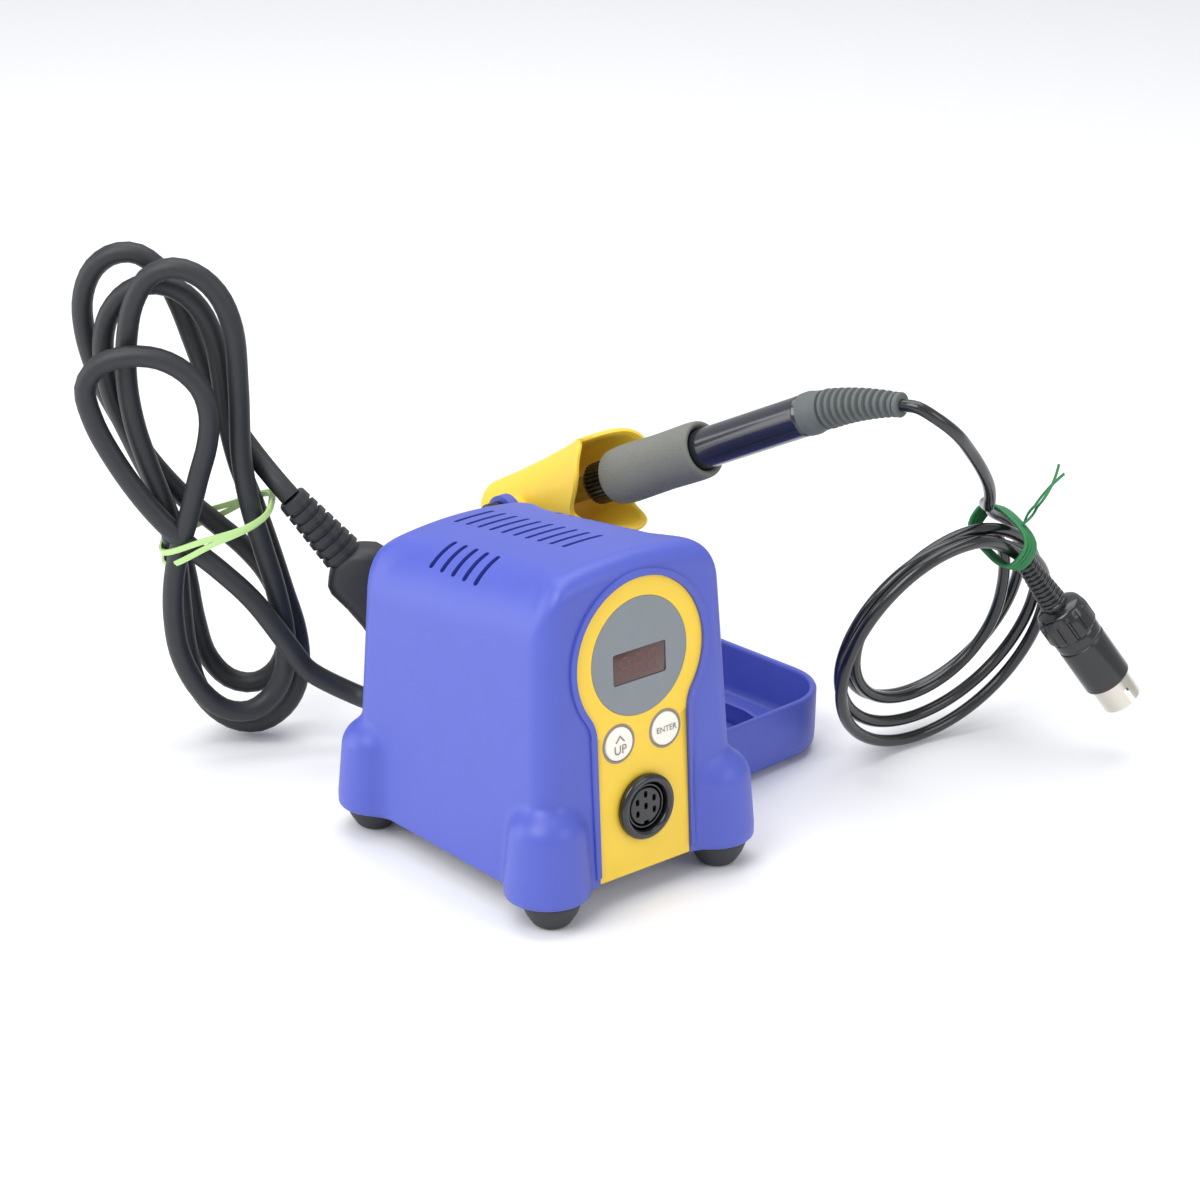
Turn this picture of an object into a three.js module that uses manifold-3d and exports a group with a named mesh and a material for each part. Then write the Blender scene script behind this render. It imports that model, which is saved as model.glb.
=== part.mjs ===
// A temperature-controlled soldering iron station: the base unit, its iron and the free-standing
// iron holder. Millimetres, +Z up, the base unit's front panel towards -Y.
// Everything is placed about the middle of the base unit's footprint. The last lines move the whole
// group so that the origin lies on the floor under the middle of its rigid pieces.

import * as THREE from 'three';
import { mergeVertices } from 'three/addons/utils/BufferGeometryUtils.js';
import Module from 'manifold-3d';

const wasm = await Module();
wasm.setup();

// ---------------------------------------------------------------- driving dimensions

const gap = 0.3; // clearance between neighbouring pieces
const inRadians = Math.PI / 180;

// Base unit
const unitWidth = 100; // over the corner pods
const unitDepth = 120; // over the corner pods
const unitHeight = 120; // floor to the roof's crest at the front
const footHeight = 9.2;
const wall = 2.5;
const frontWall = 4.6; // the front is thicker, because the panel is let into it
const podRadius = 14.3;
const podHeight = 31;
const podStand = 6.6; // how far the pods stand out of the walls
const footX = unitWidth / 2 - 13.9;
const footY = unitDepth / 2 - 11.8;
const lean = 3.26 * inRadians; // the front leans back
const draft = 3 * inRadians; // the side walls lean in
const roofFall = 8 * inRadians; // the roof falls to the rear
const cornerRadius = 10; // vertical edges of the body
const shoulderDrop = 18; // height of the rounded shoulder below the crest
const roofEdge = 8; // rounding of the roof's front and rear edge
const slotPitch = 6.35;
const shoulderSlots = 5;
const shoulderSlotY = -6; // the foremost slot of each shoulder
const shoulderTilt = 34 * inRadians;
const roofSlots = 10;
const roofSlotY = -20;

// Front panel
const panelSegments = 8;
const faceScale = unitHeight / 120; // what is on the front follows the unit's height
const panelCircle = 27 * faceScale;
const panelNeck = 19.5 * faceScale; // half width of the narrow lower part
const panelFillet = 14 * faceScale;
const panelRise = 72.6 * faceScale; // centre of the round part above the panel's foot
const panelThick = 1.8;
const panelDepth = 2.4; // pocket in the housing
const lipWidth = 2.2;
const lipProud = 0.9;
const ledge = 2.4 * faceScale; // the housing's seat behind the panel's edge
const discRadius = 20.1 * faceScale;
const windowWidth = 22.2 * faceScale;
const windowHeight = 10.6 * faceScale;
const windowRise = 69.9 * faceScale;
const buttonRadius = 5.8 * faceScale;
const buttonRise = 44.7 * faceScale;
const buttonSpread = 9.9 * faceScale;
const buttonTravel = 0.5;
const socketRise = 20.3 * faceScale;
const socketRadius = 11.3;
const socketBarrel = 9.2;
const socketMouth = 8;

// Inside the base unit
const plateThick = 1.5;
const boardThick = 1.6;
const boardDepth = 16; // the board's front face behind the front plane
const boardPosts = [[-29, 6], [29, 6], [-29, 88 * faceScale], [29, 88 * faceScale]];
const coreWidth = 56;
const coreHeight = 52;
const coreStack = 28;
const coreLeg = 10;
const transformerY = 20;
const clampScrewX = coreWidth / 2 + 6;
const clampStrap = 1.4;

// Power switch on the right wall and the cord's gland at the rear
const switchWidth = 19.5;
const switchHeight = 13;
const switchDepth = 9;
const switchY = 22;
const switchZ = 34;
const rockerSwing = 12; // degrees to either side that the rocker is shaped for
const glandX = -5;
const glandZ = 24;
const powerCord = 7.6; // diameter
const glandLength = 28;

// Iron holder
const holderX = unitWidth / 2 + 42;
const holderY = 28;
const holderTurn = 4 * inRadians;
const holderWidth = 78;
const trayFront = 38; // from the holder's own origin
const trayBack = 48;
const trayHeight = 24;
const trayWall = 2.6;
const trayFloor = 3;
const trayCorner = 23;
const padHeight = 2; // rubber pads under the holder
const caseBack = 100;
const caseHeight = 46;
const earThick = 4;
const earSpread = 22; // centre of the holder to the middle of each ear
const pivotAhead = 40; // receptacle hinge, along the iron's axis below the mouth
const coneLength = 66;
const mouthRadius = 17;
const throatRadius = 11;
const coneWall = 2;

// Iron
const seatY = 40.3; // the foam grip's front end, from the holder's own origin
const seatZ = 92.7;
const ironRise = 26.8 * inRadians;
const ironTurn = 7 * inRadians; // the iron lies turned in the wide receptacle
const foamLength = 45;
const foamRadius = 10.8;
const handleRadius = 7.4;
const handleLength = 94; // from the foam grip's front end
const bootLength = 40.5;
const bootBend = 19.5 * inRadians;
const nutLength = 10.5;
const nutRadius = 7.8;
const barrelLength = 38;
const barrelRadius = 4.5;
const tipLength = 20;
const ironCord = 4.4;

// Cord bundles and what is on the cords
const hankX = -26;
const hankY = 131;
const hankTurn = -40 * inRadians; // the hank's plane looks past the unit's left rear corner
const hankThick = 30;
const plugX = 13; // the strain relief's small end, in the hank's plane
const plugZ = 94;
const plugTurn = 40 * inRadians;
const coilOuter = 51;
const coilInner = 26;
const coilThick = 11;
const coilX = 156;
const coilY = -32;
const coilZ = 50.8;
const coilTurn = -5.7 * inRadians;
const coilLean = 19.3 * inRadians; // the coil stands on its edge and leans towards the front
const tieAngle = 64 * inRadians; // where the twist tie sits on the coil
const ironLead = [
  [112.6, -53.5, 147.1], [114.2, -58.8, 147.1], [118.5, -63.3, 143.6], [126, -64.5, 137.2],
  [135.5, -62.5, 128.3], [144.5, -60.2, 118.6], [151.5, -57, 110.5], [155.4, -54.2, 104.6],
  [157.2, -52.2, 100.6],
];
const connectorFoot = [174.5, -53.5, 77];
const connectorWay = [0.484, -0.316, -0.816];
const plugBody = 34;
const plugWidth = 26;
const plugThick = 16;
const reliefLength = 30;
const shellLength = 14;
const shellRadius = 7.4;
const connectorBody = 24;

// ---------------------------------------------------------------- helpers

const part = new THREE.Group();

function plain(geometry) {
  const bare = geometry.index ? geometry.toNonIndexed() : geometry.clone();
  bare.deleteAttribute('normal');
  bare.deleteAttribute('uv');
  return mergeVertices(bare, 1e-4);
}

function volume(geometry) {
  const p = geometry.attributes.position;
  const i = geometry.index.array;
  const [a, b, c] = [new THREE.Vector3(), new THREE.Vector3(), new THREE.Vector3()];
  let sum = 0;
  for (let k = 0; k < i.length; k += 3) {
    a.fromBufferAttribute(p, i[k]);
    b.fromBufferAttribute(p, i[k + 1]);
    c.fromBufferAttribute(p, i[k + 2]);
    sum += a.dot(b.cross(c)) / 6;
  }
  return sum;
}

// A geometry with its faces pointing out, ready for a boolean or a mesh.
function closed(geometry) {
  const bare = plain(geometry);
  if (volume(bare) < 0) {
    const i = bare.index.array;
    for (let k = 0; k < i.length; k += 3) [i[k], i[k + 1]] = [i[k + 1], i[k]];
  }
  return bare;
}

function solid(geometry) {
  const bare = closed(geometry);
  return new wasm.Manifold(new wasm.Mesh({
    numProp: 3,
    vertProperties: new Float32Array(bare.attributes.position.array),
    triVerts: new Uint32Array(bare.index.array),
  }));
}

function shapeOf(manifold) {
  const mesh = manifold.getMesh();
  const geometry = new THREE.BufferGeometry();
  geometry.setAttribute('position', new THREE.BufferAttribute(mesh.vertProperties, 3));
  geometry.setIndex(new THREE.BufferAttribute(mesh.triVerts, 1));
  return geometry;
}

const union = (...geometries) => shapeOf(geometries.map(solid).reduce((all, one) => all.add(one)));
const cut = (body, ...tools) => shapeOf(tools.map(solid).reduce((rest, tool) => rest.subtract(tool), solid(body)));
const common = (...geometries) => shapeOf(geometries.map(solid).reduce((all, one) => all.intersect(one)));

const moved = (geometry, x, y, z) => geometry.clone().translate(x, y, z);

function box(sizeX, sizeY, sizeZ, x = 0, y = 0, z = 0) {
  return new THREE.BoxGeometry(sizeX, sizeY, sizeZ).translate(x, y, z);
}

// A turned solid about Z from [radius, height] pairs that start and end on the axis or close.
function turned(profile, segments = 24) {
  const points = profile.map(([r, z]) => new THREE.Vector2(r, z));
  return new THREE.LatheGeometry(points, segments).rotateX(Math.PI / 2);
}

const rod = (radius, low, high, segments = 24) =>
  turned([[0, low], [radius, low], [radius, high], [0, high]], segments);

// A turned tube: closed profile.
const ring = (outer, inner, low, high, segments = 24) =>
  turned([[inner, low], [outer, low], [outer, high], [inner, high], [inner, low]], segments);

function extruded(shape, depth, curveSegments = 6) {
  return new THREE.ExtrudeGeometry(shape, { depth, bevelEnabled: false, curveSegments });
}

function roundedRectangle(width, height, radius, x = 0, y = 0) {
  const shape = new THREE.Shape();
  const [w, h] = [width / 2 - radius, height / 2 - radius];
  shape.absarc(x + w, y - h, radius, -Math.PI / 2, 0);
  shape.absarc(x + w, y + h, radius, 0, Math.PI / 2);
  shape.absarc(x - w, y + h, radius, Math.PI / 2, Math.PI);
  shape.absarc(x - w, y - h, radius, Math.PI, Math.PI * 1.5);
  return shape;
}

const materials = {
  blue: new THREE.MeshStandardMaterial({ color: 0x5a66c4, roughness: 0.42 }),
  yellow: new THREE.MeshStandardMaterial({ color: 0xf6d94e, roughness: 0.5 }),
  grey: new THREE.MeshStandardMaterial({ color: 0x8b9094, roughness: 0.55 }),
  foam: new THREE.MeshStandardMaterial({ color: 0x85878a, roughness: 0.9 }),
  black: new THREE.MeshStandardMaterial({ color: 0x1b1c1e, roughness: 0.4 }),
  rubber: new THREE.MeshStandardMaterial({ color: 0x232427, roughness: 0.8 }),
  navy: new THREE.MeshStandardMaterial({ color: 0x23263a, roughness: 0.2 }),
  smoke: new THREE.MeshStandardMaterial({ color: 0x5d3b39, roughness: 0.15 }),
  cream: new THREE.MeshStandardMaterial({ color: 0xf1efe2, roughness: 0.5 }),
  steel: new THREE.MeshStandardMaterial({ color: 0xb9bbbd, roughness: 0.3, metalness: 1 }),
  nickel: new THREE.MeshStandardMaterial({ color: 0xcdc8bb, roughness: 0.2, metalness: 1 }),
  brass: new THREE.MeshStandardMaterial({ color: 0xc9a24a, roughness: 0.35, metalness: 1 }),
  copper: new THREE.MeshStandardMaterial({ color: 0xa8622f, roughness: 0.4, metalness: 0.6 }),
  board: new THREE.MeshStandardMaterial({ color: 0x2c6b3c, roughness: 0.5 }),
  green: new THREE.MeshStandardMaterial({ color: 0x2f8a4c, roughness: 0.5 }),
  band: new THREE.MeshStandardMaterial({ color: 0xb5dc8a, roughness: 0.6 }),
};

function piece(name, geometry, material, parent, x = 0, y = 0, z = 0) {
  const mesh = new THREE.Mesh(closed(geometry), materials[material]);
  mesh.name = name;
  mesh.position.set(x, y, z);
  parent.add(mesh);
  return mesh;
}

// A tube of round section along a smooth curve through points.
function tube(points, diameter, sides, steps) {
  const section = new THREE.Shape().absarc(0, 0, diameter / 2, 0, Math.PI * 2);
  const path = new THREE.CatmullRomCurve3(points.map((p) => new THREE.Vector3(...p)), false, 'centripetal');
  return new THREE.ExtrudeGeometry(section, { extrudePath: path, steps, curveSegments: sides / 2, bevelEnabled: false });
}

// ---------------------------------------------------------------- base unit: housing

const skirt = footHeight + gap; // lower edge of the housing
const frontY = -(unitDepth / 2 - podStand);
const rearY = unitDepth / 2 - podStand;
const sideX = unitWidth / 2 - podStand;
const podX = unitWidth / 2 - podRadius;
const podY = unitDepth / 2 - podRadius;
const leanAt = (z) => (z - skirt) * Math.tan(lean);
const crestY = frontY + leanAt(unitHeight); // where the roof is highest
const wallX = (z) => sideX - (z - skirt) * Math.tan(draft);

// The arched front view, drawn out along Y and sheared so that its roof falls to the rear.
function archPrism(inset) {
  const crest = unitHeight - inset;
  const shoulderZ = unitHeight - shoulderDrop;
  const shoulderX = wallX(shoulderZ) - inset;
  const flatX = sideX * 0.48;
  const arch = new THREE.Shape();
  arch.moveTo(-(sideX - inset), -skirt);
  arch.lineTo(sideX - inset, -skirt);
  arch.lineTo(sideX - inset, skirt);
  arch.lineTo(shoulderX, shoulderZ);
  arch.quadraticCurveTo(shoulderX - 0.6, crest - 2.6, flatX, crest - 1.4);
  arch.quadraticCurveTo(flatX / 2, crest, 0, crest);
  arch.quadraticCurveTo(-flatX / 2, crest, -flatX, crest - 1.4);
  arch.quadraticCurveTo(-shoulderX + 0.6, crest - 2.6, -shoulderX, shoulderZ);
  arch.lineTo(-(sideX - inset), skirt);
  const prism = extruded(arch, unitDepth).rotateX(Math.PI / 2).translate(0, unitDepth / 2, 0);
  const shear = new THREE.Matrix4().makeShear(0, 0, 0, -Math.tan(roofFall), 0, 0);
  return prism.translate(0, -crestY, 0).applyMatrix4(shear).translate(0, crestY, 0);
}

// The side view: leaning front, falling roof, rounded edges.
function sidePrism(inset, frontInset, bottom) {
  const crest = unitHeight - inset + 0.02;
  const roofZ = (y) => crest - (y - crestY) * Math.tan(roofFall);
  const front = (z) => frontY + frontInset + leanAt(z);
  const rear = (z) => rearY - inset - leanAt(z) / 2;
  const side = new THREE.Shape();
  side.moveTo(front(bottom), bottom);
  side.lineTo(front(crest - roofEdge), crest - roofEdge);
  side.quadraticCurveTo(front(crest), crest, front(crest) + roofEdge, roofZ(front(crest) + roofEdge));
  side.lineTo(rearY - roofEdge - 4, roofZ(rearY - roofEdge - 4));
  side.quadraticCurveTo(rear(unitHeight - 20), roofZ(rearY), rear(unitHeight - 30), roofZ(rearY) - roofEdge);
  side.lineTo(rear(bottom), bottom);
  return extruded(side, unitWidth).rotateY(Math.PI / 2).rotateX(Math.PI / 2)
    .translate(-unitWidth / 2, 0, 0);
}

function planPrism(inset, bottom, frontInset) {
  const depth = rearY - frontY - inset - frontInset;
  const plan = roundedRectangle(2 * (sideX - inset), depth, cornerRadius - inset * 0.5, 0, (frontInset - inset) / 2);
  return extruded(plan, unitHeight * 1.3 - bottom, 3).translate(0, 0, bottom);
}

function bodyForm(inset, frontInset, bottom) {
  return common(archPrism(inset), sidePrism(inset, frontInset, bottom), planPrism(inset, bottom, frontInset));
}

// Moves a shape drawn on the front panel's plane (x across, y up, z outward) into place.
const faceFrame = new THREE.Matrix4().makeRotationX(Math.PI / 2 - lean)
  .setPosition(0, frontY + leanAt(skirt + 3), skirt + 3);
const onFace = (geometry) => geometry.clone().applyMatrix4(faceFrame);

// The panel's outline: a circle that runs through two soft curves into a narrower foot.
function bulb(offset, foot = 0) {
  const radius = panelCircle + offset;
  const neck = panelNeck + offset;
  const fillet = panelFillet - offset;
  const filletX = neck + fillet;
  const drop = Math.sqrt((radius + fillet) ** 2 - filletX ** 2);
  const meet = Math.atan2(drop, filletX);
  const shape = new THREE.Shape();
  shape.moveTo(-neck, -offset - foot);
  shape.lineTo(neck, -offset - foot);
  shape.absarc(filletX, panelRise - drop, fillet, Math.PI, Math.PI - meet, true);
  shape.absarc(0, panelRise, radius, -meet, Math.PI + meet, false);
  shape.absarc(-filletX, panelRise - drop, fillet, meet, 0, true);
  return shape;
}

function ventSlots() {
  const slots = [];
  for (const side of [-1, 1]) {
    for (let k = 0; k < shoulderSlots; k += 1) {
      const slot = box(13, 2.2, 16).rotateY(side * shoulderTilt);
      slots.push(slot.translate(side * 31, shoulderSlotY + k * slotPitch, unitHeight - 8));
    }
  }
  for (let k = 0; k < roofSlots; k += 1) {
    slots.push(box(17, 2, 16, 0, roofSlotY + k * slotPitch, unitHeight - 8));
  }
  return slots;
}

// The switch's own frame: x along the wall, y up, z outward.
const switchFrame = new THREE.Matrix4().makeBasis(
  new THREE.Vector3(0, 1, 0),
  new THREE.Vector3(-Math.sin(draft), 0, Math.cos(draft)),
  new THREE.Vector3(Math.cos(draft), 0, Math.sin(draft)),
).setPosition(wallX(switchZ), switchY, switchZ);
const onSwitch = (geometry) => geometry.clone().applyMatrix4(switchFrame);

function housing() {
  const pod = turned([
    [0, skirt], [podRadius - 0.6, skirt], [podRadius, skirt + 2], [podRadius - 0.8, podHeight * 0.75],
    [podRadius - 2.6, podHeight], [podRadius - 6, podHeight + 5.5], [4, podHeight + 9], [0, podHeight + 10],
  ], 18);
  const pods = [[-1, -1], [1, -1], [-1, 1], [1, 1]].map(([a, b]) => moved(pod, a * podX, b * podY, 0));
  const lip = onFace(extruded(bulb(lipWidth), lipProud + 2, panelSegments).translate(0, 0, -2));
  const outer = union(bodyForm(0, 0, skirt), ...pods, lip);
  const cavity = bodyForm(wall, frontWall, skirt - 4);
  const pocket = onFace(extruded(bulb(0, 4), 8, panelSegments).translate(0, 0, -panelDepth));
  const through = onFace(extruded(bulb(-ledge), 16, panelSegments).translate(0, 0, -12));
  const shell = cut(outer, cavity, pocket, through, ...ventSlots());
  const posts = boardPosts.map(([x, v]) =>
    onFace(rod(3, -boardDepth + gap, -frontWall + 0.8, 12).translate(x, v, 0)));
  const withPosts = union(shell, ...posts);
  const bores = boardPosts.map(([x, v]) => onFace(rod(1.3, -boardDepth - 1, -boardDepth + 8, 8).translate(x, v, 0)));
  const footBores = [[-1, -1], [1, -1], [-1, 1], [1, 1]].map(([a, b]) =>
    rod(1.8, skirt - 2, skirt + 13, 10).translate(a * footX, b * footY, 0));
  const switchHole = onSwitch(box(switchWidth + 2 * gap, switchHeight + 2 * gap, 14));
  const glandHole = rod(powerCord / 2 + 2.2 + gap, -12, 12, 16).rotateX(-Math.PI / 2)
    .translate(glandX, rearY - 4, glandZ);
  return cut(withPosts, ...bores, ...footBores, switchHole, glandHole);
}

// ---------------------------------------------------------------- base unit: pieces

function baseUnit() {
  const unit = new THREE.Group();
  piece('housing', housing(), 'blue', unit);
  frontPieces(unit);
  bottomPieces(unit);
  transformer(unit);
  switchAndGland(unit);
  return unit;
}

function frontPieces(unit) {
  const face = new THREE.Group();
  face.applyMatrix4(faceFrame);
  unit.add(face);
  const panelLow = -panelDepth + gap;
  const hole = (radius, v, x = 0) => rod(radius, -10, 10, 24).translate(x, v, 0);
  const sheet = extruded(bulb(-gap), panelThick, panelSegments).translate(0, 0, panelLow);
  piece('front_panel', cut(
    sheet,
    hole(discRadius + gap, panelRise),
    hole(buttonRadius + gap, buttonRise, -buttonSpread),
    hole(buttonRadius + gap, buttonRise, buttonSpread),
    hole(socketBarrel + gap, socketRise),
  ), 'yellow', face);
  const opening = box(windowWidth + 2 * gap, windowHeight + 2 * gap, 10, 0, windowRise, 0);
  const disc = rod(discRadius, panelLow, panelLow + panelThick, 24).translate(0, panelRise, 0);
  piece('display_disc', cut(disc, opening), 'grey', face);
  const pane = extruded(roundedRectangle(windowWidth, windowHeight, 0.8), panelThick - 0.1, 2);
  piece('display_window', pane, 'smoke', face, 0, windowRise, panelLow);
  const moduleHigh = panelLow - gap;
  piece('display_module', box(windowWidth + 2, windowHeight + 3, 8, 0, 0, moduleHigh - 4), 'black', face,
    0, windowRise, 0);

  const cap = turned([
    [0, -4.4], [buttonRadius + 1, -4.4], [buttonRadius + 1, -2.9], [buttonRadius, -2.9],
    [buttonRadius, 0.2], [buttonRadius - 0.7, 0.8], [0, 0.9],
  ], 18);
  for (const [name, side] of [['up', -1], ['enter', 1]]) {
    piece(`${name}_button`, cap, 'cream', face, side * buttonSpread, buttonRise, 0);
  }

  const socket = turned([
    [0, -13], [socketBarrel, -13], [socketBarrel, 0], [socketRadius, 0], [socketRadius, 1.6],
    [socketRadius - 1.4, 2.6], [socketMouth + 0.6, 2.6], [socketMouth, 1.8], [socketMouth, -9.4], [0, -9.4],
  ], 24);
  piece('socket_body', socket, 'black', face, 0, socketRise, 0);
  const pinHoles = [0, 1, 2, 3, 4].map((k) => {
    const angle = (-90 + 60 * (k - 2) + 180) * inRadians;
    return rod(0.9, -6, 0, 8).translate(4.6 * Math.cos(angle), 4.6 * Math.sin(angle), 0);
  });
  const core = rod(socketMouth - gap - 0.9, -9.4 + gap, -3, 28);
  piece('socket_insert', cut(core, ...pinHoles, rod(0.9, -6, 0, 8)), 'black', face, 0, socketRise, 0);
  const nutOutline = new THREE.Shape();
  for (let k = 0; k < 6; k += 1) {
    const [x, y] = [Math.cos(k * 60 * inRadians), Math.sin(k * 60 * inRadians)];
    nutOutline[k ? 'lineTo' : 'moveTo'](13 * x, 13 * y);
  }
  const nut = cut(extruded(nutOutline, 3), rod(socketBarrel + gap, -1, 5, 28));
  piece('socket_nut', nut, 'nickel', face, 0, socketRise, panelLow - gap - 3);

  const boardOutline = roundedRectangle(66, unitHeight - 28, 2, 0, 48 * faceScale);
  const boardHoles = boardPosts.map(([x, v]) => rod(1.7, -4, 4, 10).translate(x, v, 0));
  const sheetBoard = extruded(boardOutline, boardThick).translate(0, 0, -boardThick);
  const keyHeight = boardDepth - 8;
  const keys = [-1, 1].map((side) => union(
    box(7, 7, keyHeight + 1, 0, 0, keyHeight / 2 - 0.5),
    rod(1.7, 0, boardDepth - 4.4 - buttonTravel - gap, 10),
  ).translate(side * buttonSpread, buttonRise, 0));
  piece('control_board', union(cut(sheetBoard, ...boardHoles), ...keys), 'board', face, 0, 0, -boardDepth);
}

function bottomPieces(unit) {
  const inset = wall + gap;
  const depth = rearY - frontY - wall - frontWall - 2 * gap;
  const outline = roundedRectangle(2 * (sideX - inset) - 1.2, depth - 1.2, cornerRadius + 5, 0, (frontWall - wall) / 2);
  const plate = extruded(outline, plateThick).translate(0, 0, skirt);
  const screwHoles = [-1, 1].map((side) => rod(1.8, 0, 20, 10).translate(side * clampScrewX, transformerY, 0));
  piece('chassis_plate', cut(plate, ...screwHoles), 'black', unit);
  const foot = turned([
    [3.6, 0], [4.6, 0], [5.4, 0.8], [7.4, 3.4], [9.6, footHeight - 1.6], [10, footHeight], [2, footHeight],
    [2, 4.2], [3.6, 4.2], [3.6, 0],
  ], 14);
  const screw = turned([
    [0, 1.6], [3.1, 1.6], [3.3, 3.9], [1.5, 3.9], [1.5, skirt + 11], [0, skirt + 12],
  ], 8);
  const corners = [['front_left', -1, -1], ['front_right', 1, -1], ['rear_left', -1, 1], ['rear_right', 1, 1]];
  for (const [where, a, b] of corners) {
    piece(`foot_${where}`, foot, 'rubber', unit, a * footX, b * footY, 0);
    piece(`foot_screw_${where}`, screw, 'steel', unit, a * footX, b * footY, 0);
  }
}

function transformer(unit) {
  const stand = skirt + plateThick + gap;
  const windowSpan = coreWidth / 2 - 2 * coreLeg;
  const block = box(coreWidth, coreStack, coreHeight, 0, 0, coreHeight / 2);
  const windows = [-1, 1].map((side) => box(windowSpan, coreStack + 2, coreHeight - 2 * coreLeg,
    side * (coreLeg + windowSpan / 2), 0, coreHeight / 2));
  const core = cut(block, ...windows);
  piece('transformer_core', core, 'steel', unit, 0, transformerY, stand);
  const woundHeight = coreHeight - 2 * coreLeg - 2 * gap;
  const wound = extruded(roundedRectangle(2 * (coreLeg + windowSpan - gap), coreStack + 18, 4), woundHeight, 3);
  const legHole = box(2 * (coreLeg + gap), coreStack + 2 * gap, 3 * woundHeight);
  const winding = cut(wound, legHole);
  piece('transformer_winding', winding, 'copper', unit, 0, transformerY, stand + coreLeg + gap);
  const strap = clampStrap;
  const inner = coreWidth / 2 + gap;
  const flange = clampScrewX + 3.5;
  const clamp = new THREE.Shape();
  clamp.moveTo(-flange, 0);
  clamp.lineTo(-inner, 0);
  clamp.lineTo(-inner, coreHeight + gap);
  clamp.lineTo(inner, coreHeight + gap);
  clamp.lineTo(inner, 0);
  clamp.lineTo(flange, 0);
  clamp.lineTo(flange, strap);
  clamp.lineTo(inner + strap, strap);
  clamp.lineTo(inner + strap, coreHeight + gap + strap);
  clamp.lineTo(-inner - strap, coreHeight + gap + strap);
  clamp.lineTo(-inner - strap, strap);
  clamp.lineTo(-flange, strap);
  const band = extruded(clamp, 14).rotateX(Math.PI / 2).translate(0, 7, 0);
  const bandHoles = [-1, 1].map((side) => rod(1.8, -3, 5, 10).translate(side * clampScrewX, 0, 0));
  piece('transformer_clamp', cut(band, ...bandHoles), 'steel', unit, 0, transformerY, stand);
  const screw = turned([[0, -plateThick - 1], [1.5, -plateThick - 1], [1.5, strap + gap], [3, strap + gap],
    [2.8, strap + 2.4], [0, strap + 2.6]], 12);
  [-1, 1].forEach((side, k) => piece(`clamp_screw_${k + 1}`, screw, 'steel', unit,
    side * clampScrewX, transformerY, stand));
}

function switchAndGland(unit) {
  const frame = new THREE.Group();
  frame.applyMatrix4(switchFrame);
  unit.add(frame);
  const bezel = extruded(roundedRectangle(switchWidth + 4, switchHeight + 4, 1.5), 1.6, 3).translate(0, 0, gap);
  const body = box(switchWidth, switchHeight, switchDepth + 1, 0, 0, (1 - switchDepth) / 2);
  const rockerWidth = switchWidth - 3;
  const rockerHeight = switchHeight - 3;
  const well = box(rockerWidth + 2 * gap, rockerHeight + 2 * gap, 12, 0, 0, 7.5 - switchDepth);
  piece('switch_frame', cut(union(bezel, body), well), 'black', frame);
  // The rocker's top is two flats that meet over its pivot, and its flanks follow the swing.
  const half = rockerWidth / 2 - 0.8;
  const tilt = Math.tan(rockerSwing * inRadians);
  const rocker = new THREE.Shape();
  rocker.moveTo(-half, 0);
  rocker.lineTo(-half * 0.4, -2.4);
  rocker.lineTo(half * 0.4, -2.4);
  rocker.lineTo(half, 0);
  rocker.lineTo(half, 1.8 + half * tilt);
  rocker.lineTo(0, 1.8);
  rocker.lineTo(-half, 1.8 + half * tilt);
  const lever = extruded(rocker, rockerHeight - gap).rotateX(Math.PI / 2).translate(0, (rockerHeight - gap) / 2, 0);
  piece('power_rocker', lever, 'black', frame);

  const through = powerCord / 2 + 2.2;
  const gland = turned([
    [0, -3.5 - wall], [through + 2.5, -3.5 - wall], [through + 2.5, -gap - wall], [through, -gap - wall], [through, gap],
    [through + 3, gap], [through + 3, 3], [through + 1, 4], [through + 0.6, glandLength * 0.5],
    [powerCord / 2 + 1.2, glandLength], [0, glandLength],
  ], 20).rotateX(-Math.PI / 2);
  piece('cord_gland', gland, 'rubber', unit, glandX, rearY - leanAt(glandZ) / 2, glandZ);
}

// ---------------------------------------------------------------- iron holder

const caseFront = trayBack + gap;
const axisY = -Math.cos(ironRise); // the iron's tail direction in the holder's frame
const axisZ = Math.sin(ironRise);
const onAxis = (s) => [0, seatY + s * axisY, seatZ + s * axisZ];

function trayOutline(offset) {
  const shape = new THREE.Shape();
  const half = holderWidth / 2 + offset;
  const radius = trayCorner + offset;
  shape.absarc(half - radius, -trayFront - offset + radius, radius, -Math.PI / 2, 0);
  shape.lineTo(half, trayBack + offset);
  shape.lineTo(-half, trayBack + offset);
  shape.absarc(-half + radius, -trayFront - offset + radius, radius, Math.PI, Math.PI * 1.5);
  return shape;
}

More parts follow.
